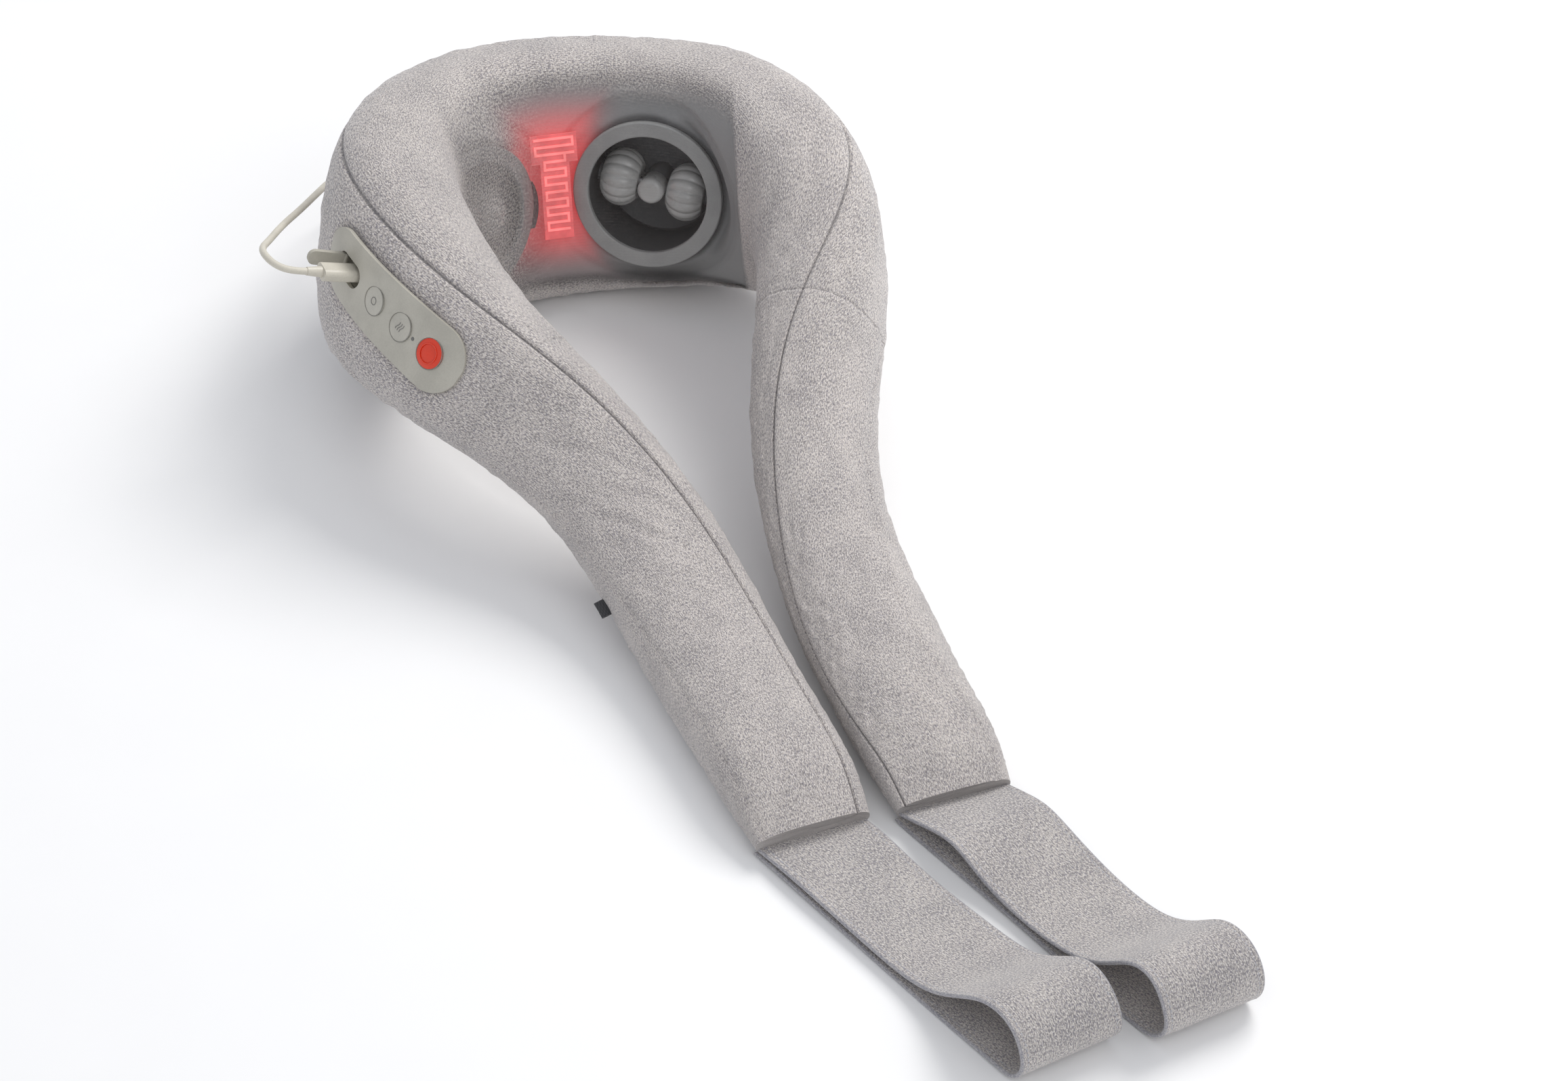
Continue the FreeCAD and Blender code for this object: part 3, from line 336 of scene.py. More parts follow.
# %% Where the heads and the panel are
HEADS = {}
for side in ("left", "right"):
    z_axis = np.array(joints[side + "_head_spin"]["axis"], float)
    y_axis = np.array(joints[side + "_worm_spin"]["axis"], float)
    HEADS[side] = (np.array(joints[side + "_head_spin"]["pos_m"], float),
                   np.stack([np.cross(y_axis, z_axis), y_axis, z_axis]))
PANEL_FROM, PANEL_TO, PANEL_LEVEL_AT, PANEL_RISE = 2.73, 4.18, 3.92, 0.0134
PANEL_HALF_HEIGHT, PORT_AT, PORT_SIZE = 0.0195, 3.02, (0.026, 0.014)
STATION_LENGTH = 0.0872
print("heads:", {k: [round(float(v) * 1000) for v in h[0]] for k, h in HEADS.items()})


def stadium(x, y, length, height):
    """Distance outside a bar with round ends, negative inside: the distance to its middle line,
    less its radius."""
    past = np.maximum(np.abs(x) - (length - height) / 2, 0)
    return np.hypot(past, y) - height / 2


def seam_angle(u):
    """Angle of the upper seam round the section: 45 degrees, and on the right arm up to 76."""
    s = u - MIDDLE
    return np.radians(45 + 31 * smooth((s - 2.6) / 2.2) * (1 - 0.75 * smooth((s - 7.2) / 2.4)))


def cover_points(u, share):
    """Point of the cover at u along the band and at a share of the way round from its seam."""
    middle, along, out, across, height, thick = band_frames(u)
    a = seam_angle(u)[:, None] + 2 * math.pi * share[None, :]
    x, y = section_xy(a, height[:, None], thick[:, None])
    point = middle[:, None] + out[:, None] * x[..., None] + across[:, None] * y[..., None]
    outward = unit(out[:, None] * (x / thick[:, None] ** 2)[..., None]
                   + across[:, None] * (y / height[:, None] ** 2)[..., None])
    return point, outward, x, y


def panel_distance(u, x, y):
    """Distance from the panel's outline and from the port's, far away on the inner face. Here s
    counts stations to the left of the back."""
    s = (MIDDLE - u)[:, None]
    lengthwise = (s - (PANEL_FROM + PANEL_TO) / 2) * STATION_LENGTH
    sideways = y - PANEL_RISE * (PANEL_LEVEL_AT - s)
    far = np.where(x > 0, 0.0, 1.0)
    panel = stadium(lengthwise, sideways, (PANEL_TO - PANEL_FROM) * STATION_LENGTH,
                    2 * PANEL_HALF_HEIGHT)
    port = stadium((s - PORT_AT) * STATION_LENGTH, sideways, *PORT_SIZE)
    return panel + far, port + far


RING_COVERED, RING_FADE = 0.047, 0.02      # the cloth lies flat over a ring, and fades out round it
HEAD_DEPTH, SOFTNESS = 0.03, 0.0012


def over_heads(point, lift):
    """Moves points near a head forward to a height over its ring: lift + e ln(1 + exp(z' / e))
    with z' the height above lift, which is a smooth maximum."""
    for centre, axes in HEADS.values():
        local = (point - centre) @ axes.T
        r = np.hypot(local[..., 0], local[..., 1])
        near = (1 - smooth((r - RING_COVERED) / RING_FADE)) * (np.abs(local[..., 2]) < HEAD_DEPTH)
        higher = lift + np.logaddexp(0, (local[..., 2] - lift) / SOFTNESS) * SOFTNESS
        point = point + (near * (higher - local[..., 2]))[..., None] * axes[2]
    return point


def above_floor(point):
    """Keeps points off the floor: z becomes (z + sqrt(z^2 + e^2)) / 2."""
    z = point[..., 2]
    point[..., 2] = (z + np.sqrt(z * z + 0.0008 ** 2)) / 2
    return point


# %% [markdown]
# Folds are hard to draw and easy to simulate. A coarse copy of the whole band goes through a short
# cloth simulation with air pressure inside. The cloth grows by up to a fifth where the collar bends
# into the arms, and less elsewhere, so it has to buckle there, and a trace of seeded unevenness
# decides where. The seams, the window over the heads and the cloth round the panel are pinned. The
# moves that come out are limited, kept as a smooth field on the same two parameters, and added to
# the fine cover.

# %% Cloth simulation
SIM_U, SIM_AROUND, SIM_FRAMES = np.linspace(0, LAST, 250), 68, 20
CLOTH_GROWTH, UNEVENNESS, MOVE_LIMIT = 0.2, 0.0003, 0.008


def growth(u, x, y):
    """How much the cloth grows, from 0 to 1: strong inside the collar's bends and outside the
    arms', weak elsewhere."""
    s = (u - MIDDLE)[:, None]
    inner = smooth(-x / 0.012)
    outer = smooth(x / 0.012)
    low = smooth((0.02 - y) / 0.03)
    bends = (np.exp(-((s + 2.6) / 0.5) ** 2) * inner * 0.9
             + np.exp(-((s - 2.3) / 0.4) ** 2) * inner * 0.8
             + np.exp(-((s + 0.9) / 0.9) ** 2) * inner * low * 0.9
             + np.exp(-((s + 6.3) / 0.7) ** 2) * outer * 1.0
             + np.exp(-((s + 5.2) / 0.5) ** 2) * inner * 0.5
             + np.exp(-((s - 6.4) / 0.7) ** 2) * (outer + 0.3) * 0.9
             + np.exp(-((s - 4.6) / 0.5) ** 2) * inner * 0.5)
    return np.clip(0.22 + bends, 0, 1)


def held(u, share, x, y):
    """1 where the cloth is sewn or stretched over something hard, 0 where it is free."""
    s = (u - MIDDLE)[:, None]
    seam = np.minimum(share, 1 - share)[None, :]
    pin = 1 - smooth((seam - 0.006) / 0.03)
    reach = np.where(s > 0, s - 2.9, -s - 2.0)
    lining = smooth(-x / 0.01) * (1 - smooth(reach / 0.35)) * smooth((y + 0.058) / 0.012)
    panel, _ = panel_distance(u, x, y)
    rim = 1 - smooth((panel - 0.004) / 0.02)
    ends = 1 - smooth((np.minimum(u, LAST - u) - 0.05) / 0.4)
    return np.clip(np.maximum.reduce([pin + 0 * x, lining, rim, ends[:, None] + 0 * x]), 0, 1)


def simulate(points, pin, grow):
    """Runs the cloth with pressure and no gravity, and returns where its points end."""
    piece = closed_grid("cloth_trial", points)
    count = len(piece.data.vertices)
    for label, grid in (("held", pin), ("grows", grow)):
        group = piece.vertex_groups.new(name=label)
        weights = np.append(grid.ravel(), [1.0] * (count - grid.size))
        for level in np.unique(np.round(weights, 2)):
            members = np.nonzero(np.round(weights, 2) == level)[0]
            group.add(members.tolist(), float(level), "REPLACE")
    cloth = piece.modifiers.new("cloth", "CLOTH")
    settings = cloth.settings
    settings.quality, settings.mass = 5, 0.02
    settings.tension_stiffness = settings.compression_stiffness = 40
    settings.shear_stiffness, settings.bending_stiffness = 10, 0.02
    settings.vertex_group_mass, settings.pin_stiffness = "held", 1.0
    settings.vertex_group_shrink, settings.shrink_min, settings.shrink_max = "grows", 0.0, -CLOTH_GROWTH
    settings.use_pressure, settings.uniform_pressure_force = True, 30.0
    settings.effector_weights.gravity = 0
    scene = bpy.context.scene
    for number in range(1, SIM_FRAMES + 1):
        scene.frame_set(number)
    shaped = piece.evaluated_get(bpy.context.evaluated_depsgraph_get()).to_mesh()
    result = np.zeros(count * 3)
    shaped.vertices.foreach_get("co", result)
    scene.frame_set(1)
    bpy.data.objects.remove(piece)
    return result.reshape(-1, 3)[:points.shape[0] * points.shape[1]].reshape(points.shape)


sim_share = np.arange(SIM_AROUND) / SIM_AROUND
sim_point, sim_out, sim_x, sim_y = cover_points(SIM_U, sim_share)
moves = np.zeros_like(sim_point)
pins = held(SIM_U, sim_share, sim_x, sim_y)
uneven = np.random.default_rng(4).standard_normal(sim_x.shape) * UNEVENNESS * (1 - pins)
start = above_floor(sim_point + sim_out * uneven[..., None])
ended = simulate(start, pins, growth(SIM_U, sim_x, sim_y))
moves = (ended - sim_point) * (1 - pins)[..., None]
size = np.linalg.norm(moves, axis=-1, keepdims=True)
moves *= MOVE_LIMIT / np.maximum(size, MOVE_LIMIT)
print("cloth moved up to", round(float(size.max() * 1000), 1), "mm before the limit,",
      "half of the free cloth by", round(float(np.median(size[pins < 0.5]) * 1000), 2), "mm")


def cubic_weights(at, count, closed):
    """Four neighbours and their Catmull-Rom weights for each place between grid lines."""
    i = np.floor(at).astype(int)
    t = at - i
    weights = np.stack([-t ** 3 / 2 + t * t - t / 2, 1.5 * t ** 3 - 2.5 * t * t + 1,
                        -1.5 * t ** 3 + 2 * t * t + t / 2, t ** 3 / 2 - t * t / 2])
    index = i[None] + np.arange(-1, 3)[:, None]
    return (index % count if closed else np.clip(index, 0, count - 1)), weights


def moves_at(u, share):
    """The simulated moves, read smoothly at any u and share of the way round."""
    rows, w = cubic_weights(u / LAST * (len(SIM_U) - 1), len(SIM_U), False)
    part = (moves[rows] * w[..., None, None]).sum(0)
    cols, w = cubic_weights(share * SIM_AROUND, SIM_AROUND, True)
    return (part[:, cols] * w[None, ..., None]).sum(1)


# %% [markdown]
# The fine cover is cut into three pieces of cloth: one for the collar and one for each arm. Each
# arm's piece starts on the collar, before the bend where the arm flexes. The grid lines crowd
# together at the upper seam, where the cloth dips.

# %% Cover pieces
SEAM_CROWDING, SEAM_DEPTH, SEAM_SPREAD = 0.72, 0.0016, 0.0042
LOWER_SEAM_AT, LOWER_SEAM_DEPTH, LOWER_SEAM_SPREAD = 265 / 360, 0.0009, 0.0045
LINING_LIFT, CLOTH_ROUND = 0.0016, 0.30
PANEL_TUCK, PORT_TUCK, PANEL_CREASE, PANEL_PUFF = 0.005, 0.014, 0.0012, 0.0008


def shares_round(count):
    """Shares of the way round, crowded near the seam at 0: the even share minus a part of
    sin(2 pi share) / (2 pi)."""
    even = np.arange(count) / count
    return even - SEAM_CROWDING * np.sin(2 * math.pi * even) / (2 * math.pi)


WINDOW_RIGHT = 2.95                     # stations to the right of the middle


def window_mask(u, x, y):
    """How far the lining is see-through, from 0 to 1: clear over the right head, faint over the
    left one, with a sharp right edge and soft edges elsewhere. Here s counts stations to the
    right of the back."""
    s = (u - MIDDLE)[:, None]
    inner = smooth((-x - 0.004) / 0.008)
    right_edge = smooth((WINDOW_RIGHT - 0.5 * (np.abs(y) / 0.064) ** 3 - s) / 0.06)
    left_edge = smooth((s + 2.2) / 0.8)
    top, bottom = smooth((0.069 - y) / 0.022), smooth((y + 0.069) / 0.014)
    depth = 0.40 + 0.57 * smooth((s + 0.95) / 1.0)
    return inner * right_edge * left_edge * top * bottom * depth


def cover_piece(name, u, around=152):
    """Cover between two places along the band. Each seam is a dip exp(-(distance / spread)^2),
    and round the panel the cloth tucks down, with a crease at its edge and a slight puff outside."""
    share = shares_round(around)
    point, outward, x, y = cover_points(u, share)
    point = point + moves_at(u, share)
    seam_dip = np.exp(-((np.minimum(share, 1 - share)) / SEAM_SPREAD) ** 2)[None, :]
    lower_dip = np.exp(-((share - LOWER_SEAM_AT)[None, :] / LOWER_SEAM_SPREAD) ** 2)
    point -= outward * (SEAM_DEPTH * seam_dip + LOWER_SEAM_DEPTH * lower_dip)[..., None]
    panel, port = panel_distance(u, x, y)
    tuck = (PANEL_TUCK * smooth((-panel - 0.0015) / 0.005)
            + PORT_TUCK * smooth((0.006 - port) / 0.006))
    crease = PANEL_CREASE * np.exp(-((panel + 0.0003) / 0.0016) ** 2)
    puff = PANEL_PUFF * np.exp(-((panel - 0.006) / 0.004) ** 2)
    point -= outward * (tuck + crease - puff)[..., None]
    point = above_floor(over_heads(point, LINING_LIFT))
    lengthwise = np.interp(u, fine, reach_along)
    crosswise = CLOTH_ROUND * np.append(share, 1.0)
    uv = np.stack(np.broadcast_arrays(lengthwise[:, None], crosswise[None, :]), -1)
    values = [("window", window_mask(u, x, y)), ("seam", seam_dip + 0 * x)]
    piece = closed_grid(name, point, uv=uv, values=values)
    print(name, len(piece.data.polygons), "faces")
    return piece


ARM_CUT, BLEND_FROM, BLEND_TO = 4.45, 4.75, 5.75     # stations from the back
tip_rows = np.array([0.0, 0.012, 0.03, 0.06, 0.1])
left_u = np.concatenate([tip_rows, np.linspace(0.14, MIDDLE - ARM_CUT, 236)])
right_u = LAST - left_u[::-1]
collar_u = np.linspace(MIDDLE - ARM_CUT, MIDDLE + ARM_CUT, 330)
collar_cover = cover_piece("collar_cover", collar_u)
left_cover = cover_piece("left_arm_cover", left_u)
right_cover = cover_piece("right_arm_cover", right_u)
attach(collar_cover, "collar")
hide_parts("collar_pad", "inner_cover")
for piece, side, sign in ((left_cover, "left", -1), (right_cover, "right", 1)):
    ends = band_frames(np.array([MIDDLE + sign * BLEND_FROM, MIDDLE + sign * BLEND_TO]))[0]
    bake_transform(piece)
    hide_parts(side + "_arm_pad")

# %% [markdown]
# Behind the see-through lining lies the front of the foam, with the plate that carries the heads
# and the heater. It follows the collar's inner face 3 mm down, drops behind each ring, and has a
# round hole for each head. It is an open sheet, so the faces inside the holes are left out and a
# Solidify modifier gives it a wall.

# %% Front plate behind the lining
PLATE_LEFT, PLATE_RIGHT, PLATE_HALF_HEIGHT = 2.4, 3.2, 0.068      # stations, stations, metres
PLATE_UNDER_COVER, PLATE_WALL, PLATE_DROP, SHELF = 0.003, 0.0007, 0.0046, 0.0022
PLATE_HOLE_R, RING_R, SHELF_R, WIDEST_SHARE = 0.0395, 0.0475, 0.057, 0.455
HEATER_STATION, GLOW_REACH = 0.052, 0.017      # a station's length at the heater, and its red glow's


def heater_distance(x, y):
    """Distance from a T: a bar 27 by 17 mm whose top is at 30, over a stem 17 by 45 mm."""
    bar = np.maximum(np.abs(x) - 0.0135, np.abs(y - 0.0215) - 0.0085)
    stem = np.maximum(np.abs(x) - 0.0085, np.abs(y + 0.0095) - 0.0225)
    return np.minimum(bar, stem)


def front_plate():
    """Sheet over (u, y): the inner face's depth at y is thick/2 (1 - |2y/h|^p)^(1/p). Near a head
    it drops behind the ring, and elsewhere it lies a shelf's height deeper."""
    u = np.linspace(MIDDLE - PLATE_LEFT, MIDDLE + PLATE_RIGHT, 236)
    y = np.linspace(-PLATE_HALF_HEIGHT, PLATE_HALF_HEIGHT, 92)
    middle, along, out, across, height, thick = band_frames(u)
    y = y[None, :] * np.minimum(1, WIDEST_SHARE * height / PLATE_HALF_HEIGHT)[:, None]
    k = np.clip(np.abs(2 * y / height[:, None]), 0, 0.999)
    depth = thick[:, None] / 2 * (1 - k ** SQUARENESS) ** (1 / SQUARENESS) - PLATE_UNDER_COVER
    point = middle[:, None] - out[:, None] * depth[..., None] + across[:, None] * y[..., None]
    hole = np.full(depth.shape, 1.0)
    for centre, axes in HEADS.values():
        local = (point - centre) @ axes.T
        r = np.hypot(local[..., 0], local[..., 1])
        level = np.abs(local[..., 2]) < HEAD_DEPTH
        near = (1 - smooth((r - RING_R) / 0.006)) * level
        drop = np.minimum(local[..., 2], -PLATE_DROP) - local[..., 2]
        shelf = SHELF * (1 - smooth((r - SHELF_R) / 0.003)) * level
        point = point + (near * drop - (1 - near) * shelf)[..., None] * axes[2]
        hole = np.minimum(hole, r)
    s = (u - MIDDLE)[:, None] + 0 * y
    glow = np.exp(-(np.maximum(heater_distance(s * HEATER_STATION, y), 0) / GLOW_REACH) ** 2)
    n, m = depth.shape
    i, j = np.meshgrid(np.arange(n - 1), np.arange(m - 1), indexing="ij")
    faces = np.stack([i * m + j, (i + 1) * m + j, (i + 1) * m + j + 1, i * m + j + 1], -1)
    faces = faces[hole[:-1, :-1] > PLATE_HOLE_R].reshape(-1, 4)
    mesh = bpy.data.meshes.new("front_plate")
    mesh.from_pydata(point.reshape(-1, 3).tolist(), [], faces.tolist())
    rim = np.minimum(np.where(s > 0, 2.88 - s, 2.05 + s), (0.062 - np.abs(y)) / 0.05)
    for label, grid in (("glow", glow), ("rim", rim), ("reach", hole)):
        mesh.attributes.new(label, "FLOAT", "POINT").data.foreach_set("value", grid.ravel())
    mesh.polygons.foreach_set("use_smooth", np.ones(len(mesh.polygons), bool))
    piece = shown("front_plate", mesh)
    wall = piece.modifiers.new("wall", "SOLIDIFY")
    wall.thickness, wall.offset = PLATE_WALL, -1
    return piece


plate = front_plate()
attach(plate, "collar")
print("front plate:", len(plate.data.polygons), "faces")

# %% [markdown]
# Each kneading roller is a barrel on the head's axle, with 14 flutes across its rim. It is a
# profile turned round the axle: the bore, the flat ends and an arc, all one closed loop. The
# flutes are part of the radius, so they follow the arc and fade out at the ends.

# %% Rollers
ROLLER_R, ROLLER_END_R, ROLLER_HALF, ROLLER_AT, BORE_R = 0.017, 0.011, 0.0104, 0.0196, 0.00256
FLUTES, FLUTE_DEPTH = 14, 0.0012


def roller_piece(name, centre, axis):
    """Barrel round an axis: its arc has radius (a^2 + h^2) / 2a with a the crown, h half its
    length, and each flute lowers it by depth (1 - |cos(n t / 2)|)."""
    crown = ROLLER_R - ROLLER_END_R
    arc = (crown ** 2 + ROLLER_HALF ** 2) / (2 * crown)
    lean = math.asin(ROLLER_HALF / arc)
    f = np.linspace(-lean, lean, 40)
    x = np.concatenate([arc * np.sin(f), [ROLLER_HALF + 0.0004] * 4,
                        np.linspace(ROLLER_HALF, -ROLLER_HALF, 6), [-ROLLER_HALF - 0.0004] * 4])
    r = np.concatenate([ROLLER_R - arc + arc * np.cos(f), np.linspace(ROLLER_END_R - 0.0006, 0.004, 4),
                        [BORE_R] * 6, np.linspace(0.004, ROLLER_END_R - 0.0006, 4)])
    turn = np.arange(FLUTES * 12) * 2 * math.pi / (FLUTES * 12)
    ridge = 1 - np.abs(np.cos(FLUTES * turn / 2)) ** 0.8
    fade = smooth((r - ROLLER_END_R + 0.001) / 0.003)
    radius = r[:, None] - FLUTE_DEPTH * fade[:, None] * ridge[None, :]
    axis = unit(np.array(axis, float))
    side = unit(np.cross(axis, [0.0, 0.0, 1.0]))
    other = np.cross(axis, side)
    around = np.cos(turn)[:, None] * side + np.sin(turn)[:, None] * other
    points = (np.array(centre) + x[:, None, None] * axis + radius[..., None] * around[None])
    piece = closed_grid(name, points, ends="ring")
    return piece


rollers = []
for side in ("left", "right"):
    for letter, sign in (("a", -1), ("b", 1)):
        joint = joints[f"{side}_roller_{letter}_spin"]
        place = np.array(joint["pos_m"]) + sign * ROLLER_AT * np.array(joint["axis"])
        roller = roller_piece(f"{side}_fluted_roller_{letter}", place, joint["axis"])
        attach(roller, f"{side}_roller_{letter}_body")
        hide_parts(f"{side}_roller_{letter}")
        rollers.append(roller)
print("rollers:", [r.name for r in rollers])

# %% [markdown]
# Between the rollers stands a pole with a rounded tip. It wears a smooth cap of the rollers' own
# plastic, a thin profile turned round the head's axis: its wall, a quarter circle, and a flat top.

# %% Pole caps
CAP_R, CAP_TIP, CAP_FOOT, CAP_ROUND = 0.0078, -0.0057, -0.020, 0.0032


def pole_cap(name, centre, axes):
    """Closed cap round the head's z axis: radius and height follow the wall, then the round."""
    a = np.linspace(0, math.pi / 2, 9)
    r = np.concatenate([[CAP_R - 0.0002, CAP_R], CAP_R - CAP_ROUND + CAP_ROUND * np.cos(a), [0.002]])
    z = np.concatenate([[CAP_FOOT, CAP_FOOT + 0.0003],
                        CAP_TIP - CAP_ROUND + CAP_ROUND * np.sin(a), [CAP_TIP + 0.0001]])
    turn = np.arange(48) * 2 * math.pi / 48
    around = np.cos(turn)[:, None] * axes[0] + np.sin(turn)[:, None] * axes[1]
    points = centre + r[:, None, None] * around[None] + (z[:, None] * axes[2])[:, None]
    piece = closed_grid(name, points)
    return piece


caps = []
for side, (centre, axes) in HEADS.items():
    caps.append(pole_cap(side + "_pole_cap", centre, axes))
    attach(caps[-1], side + "_head")
print("pole caps:", len(caps))

# %% [markdown]
# A hand loop is one strap of doubled knit, sewn along both edges, folded back on itself and
# caught in the arm's end seam. Its side profile is a smooth curve through a few points, and its
# section is a flat bar with round edges. It starts square to the seam, then runs off to the side.

# %% Hand loops
LOOP_WIDTH, LOOP_T = 0.059, 0.0024
LOOP_RUN, LOOP_TURN = math.radians(19), math.radians(9)
INTO_SEAM, SEAM_REACH, LOOP_RIPPLE = 0.003, 0.045, 0.0007
STITCH_INSET, STITCH_DIP = 0.0037, 0.30
LOOP_PROFILES = {
    "left": [(0, 8.4), (22, 9.5), (55, 8.5), (95, 9.5), (128, 14), (152, 27), (172, 41), (189, 43),
             (201, 33), (205, 17), (197, 4), (180, 1.0), (140, 0.8), (80, 0.8), (20, 0.9), (0, 1.4)],
    "right": [(0, 9.5), (16, 15), (36, 20), (58, 15), (88, 9.5), (125, 12), (152, 26), (172, 42),
              (189, 44), (200, 33), (203, 17), (195, 4), (178, 1.0), (140, 0.8), (80, 0.8),
              (20, 0.9), (0, 1.4)],
}


def strap_section(count_flat=20, count_edge=5):
    """Closed bar section (w, t): flat faces from edge to edge, and half circles at the edges,
    with a dip of 0.4 mm where each row of stitches pulls the two layers together."""
    flat = np.linspace(-1, 1, count_flat)
    flat = np.sign(flat) * (1 - (1 - np.abs(flat)) ** 1.25)
    half = LOOP_WIDTH / 2 - LOOP_T / 2
    arc = np.linspace(-math.pi / 2, math.pi / 2, count_edge + 2)[1:-1]
    w = np.concatenate([flat * half, half + LOOP_T / 2 * np.cos(arc), -flat * half,
                        -half - LOOP_T / 2 * np.cos(arc)])
    t = np.concatenate([-np.ones(count_flat), np.sin(arc), np.ones(count_flat), -np.sin(arc)])
    dip = STITCH_DIP * np.exp(-((LOOP_WIDTH / 2 - STITCH_INSET - np.abs(w)) / 0.0011) ** 2)
    return w, t * LOOP_T / 2 * (1 - dip)


def hand_loop(side, tip):
    """Strap: point = start + d go + w wide + h up + t normal, where the normal is the profile's.
    Near the seam d is shifted so that the strap's end lies along the seam."""
    profile = np.array(LOOP_PROFILES[side], float) / 1000
    steps = np.linspace(0, len(profile) - 1, 260)
    curve = natural_spline(profile)
    d, h = curve(steps).T
    slope = unit(curve(steps, slope=True))
    w, t = strap_section()
    inward = t + LOOP_T / 2
    dd = d[:, None] + slope[:, 1:2] * inward[None, :]
    hh = h[:, None] - slope[:, 0:1] * inward[None, :]
    seam = (w[None, :] * math.sin(LOOP_TURN) - INTO_SEAM) / math.cos(LOOP_RUN)
    dd = dd + seam * (1 - smooth(dd / SEAM_REACH))
    ripple = LOOP_RIPPLE * np.sin(steps * 2.1 + 0.6)[:, None] * (w[None, :] / LOOP_WIDTH * 2) ** 3
    go = np.array([math.sin(LOOP_RUN), -math.cos(LOOP_RUN), 0.0])
    wide = np.array([math.cos(LOOP_TURN), math.sin(LOOP_TURN), 0.0])
    start = np.array([tip[0], tip[1], 0.0])
    points = (start + dd[..., None] * go + w[None, :, None] * wide
              + (hh + ripple)[..., None] * np.array([0.0, 0.0, 1.0]))
    points[..., 2] = np.maximum(points[..., 2], 0.0002)
    lengthwise = np.append(0, np.cumsum(np.hypot(np.diff(d), np.diff(h))))
    round_it = np.append(0, np.cumsum(np.hypot(np.diff(w), np.diff(t))))
    round_it = np.append(round_it, round_it[-1] + LOOP_T / 4)
    uv = np.stack(np.broadcast_arrays(lengthwise[:, None], round_it[None, :]), -1)
    edge = np.broadcast_to((LOOP_WIDTH / 2 - np.abs(w))[None, :], dd.shape)
    piece = closed_grid(side + "_strap", points, uv=uv, values=[("edge", edge)])
    return piece, lengthwise[-1]


for side, last in (("left", 0), ("right", LAST)):
    tip = band_at(np.array([float(last)]))[0, :2] / 1000
    strap, long = hand_loop(side, tip)
    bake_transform(strap)
    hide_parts(side + "_hand_loop")
    print(side, "strap:", round(long * 1000), "mm long")

# %% [markdown]
# The control panel, its buttons, its port and its rubber flap are the CAD's. What they still need
# is small: a fine groove round each button, drawn as a darker ring of painted shade, and the marks
# on two of them. Both are thin rings and bars that lie in the panel's face, made as tubes along a line.

# %% Panel details
def panel_place(station):
    """Point on the panel's face at a station, and its axes: to the front, across, and out."""
    u = np.array([MIDDLE - station, MIDDLE - station - 0.05, MIDDLE - station + 0.05])
    middle, along, out, across, height, thick = band_frames(u)
    rise = PANEL_RISE * (PANEL_LEVEL_AT - (MIDDLE - u))
    face = middle + out * (thick / 2 + 0.0012)[:, None] + across * rise[:, None]
    z = out[0]
    x = face[1] - face[2]
    x = unit(x - z * (x @ z))
    return face[0], x, np.cross(z, x), z


def tube(name, line, radius, closed=False, around=10):
    """Round tube along a line of points: point + r (cos t n + sin t b), n and b square to it.
    The helper direction only has to lean away from the line everywhere."""
    line = np.array(line, float)
    along = unit(np.roll(line, -1, 0) - np.roll(line, 1, 0)) if closed else unit(np.gradient(line, axis=0))
    helper = np.cross(along, along[len(along) // 3] + np.array([0.31, 0.17, 0.93]))
    first = unit(helper)
    second = np.cross(along, first)
    t = np.arange(around) * 2 * math.pi / around
    points = (line[:, None] + radius * (np.cos(t)[None, :, None] * first[:, None]
                                        + np.sin(t)[None, :, None] * second[:, None]))
    return closed_grid(name, points, ends="ring" if closed else "fan")


def ring_line(place, radius, lift, count=72):
    """Circle of points round a place on the panel, lifted off its face."""
    at, x, y, z = place
    t = np.arange(count)[:, None] * 2 * math.pi / count
    return at + z * lift + radius * (np.cos(t) * x + np.sin(t) * y)


MODE_AT, HEAT_AT, POWER_AT = 3.36, 3.64, 3.92
BUTTON_PLACES = {"mode_button": (MODE_AT, 0.008), "heat_button": (HEAT_AT, 0.008),
                 "power_button": (POWER_AT, 0.0086)}
grooves, marks = [], []
# Each groove ring is darker than the panel: painted shade for the gap round the button.
for name, (station, radius) in BUTTON_PLACES.items():
    groove = tube(name + "_groove", ring_line(panel_place(station), radius + 0.00015, -0.0001), 0.0003, True)
    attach(groove, "collar")
    grooves.append(groove)
marks.append(tube("mode_mark", ring_line(panel_place(MODE_AT), 0.0021, 0.00018, 40), 0.00028, True))
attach(marks[0], "mode_button_body")
at, x, y, z = panel_place(HEAT_AT)
for k in range(3):
    t = np.linspace(-1, 1, 15)[:, None]
    line = (at + z * 0.0002 + x * (k - 1) * 0.0017 + x * 0.00035 * np.sin(t * 3) + y * t * 0.0025
            + x * t * 0.0007)
    marks.append(tube(f"heat_mark_{k + 1}", line, 0.00026))
    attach(marks[-1], "heat_button_body")
crown = tube("power_crown", ring_line(panel_place(POWER_AT), 0.0056, 0.00108, 64), 0.00035, True)
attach(crown, "power_button_body")
print("grooves and marks:", len(grooves) + len(marks) + 1)

# %% [markdown]
# The small black label is a folded tab, caught in the left arm's lower edge. It is a flat loop of
# tape: two layers a little apart, joined by a round fold, so one closed section does it.

# %% Side label
LABEL_AT, LABEL_SIZE, TAPE_T = MIDDLE - 6.3, (0.010, 0.0046), 0.0007


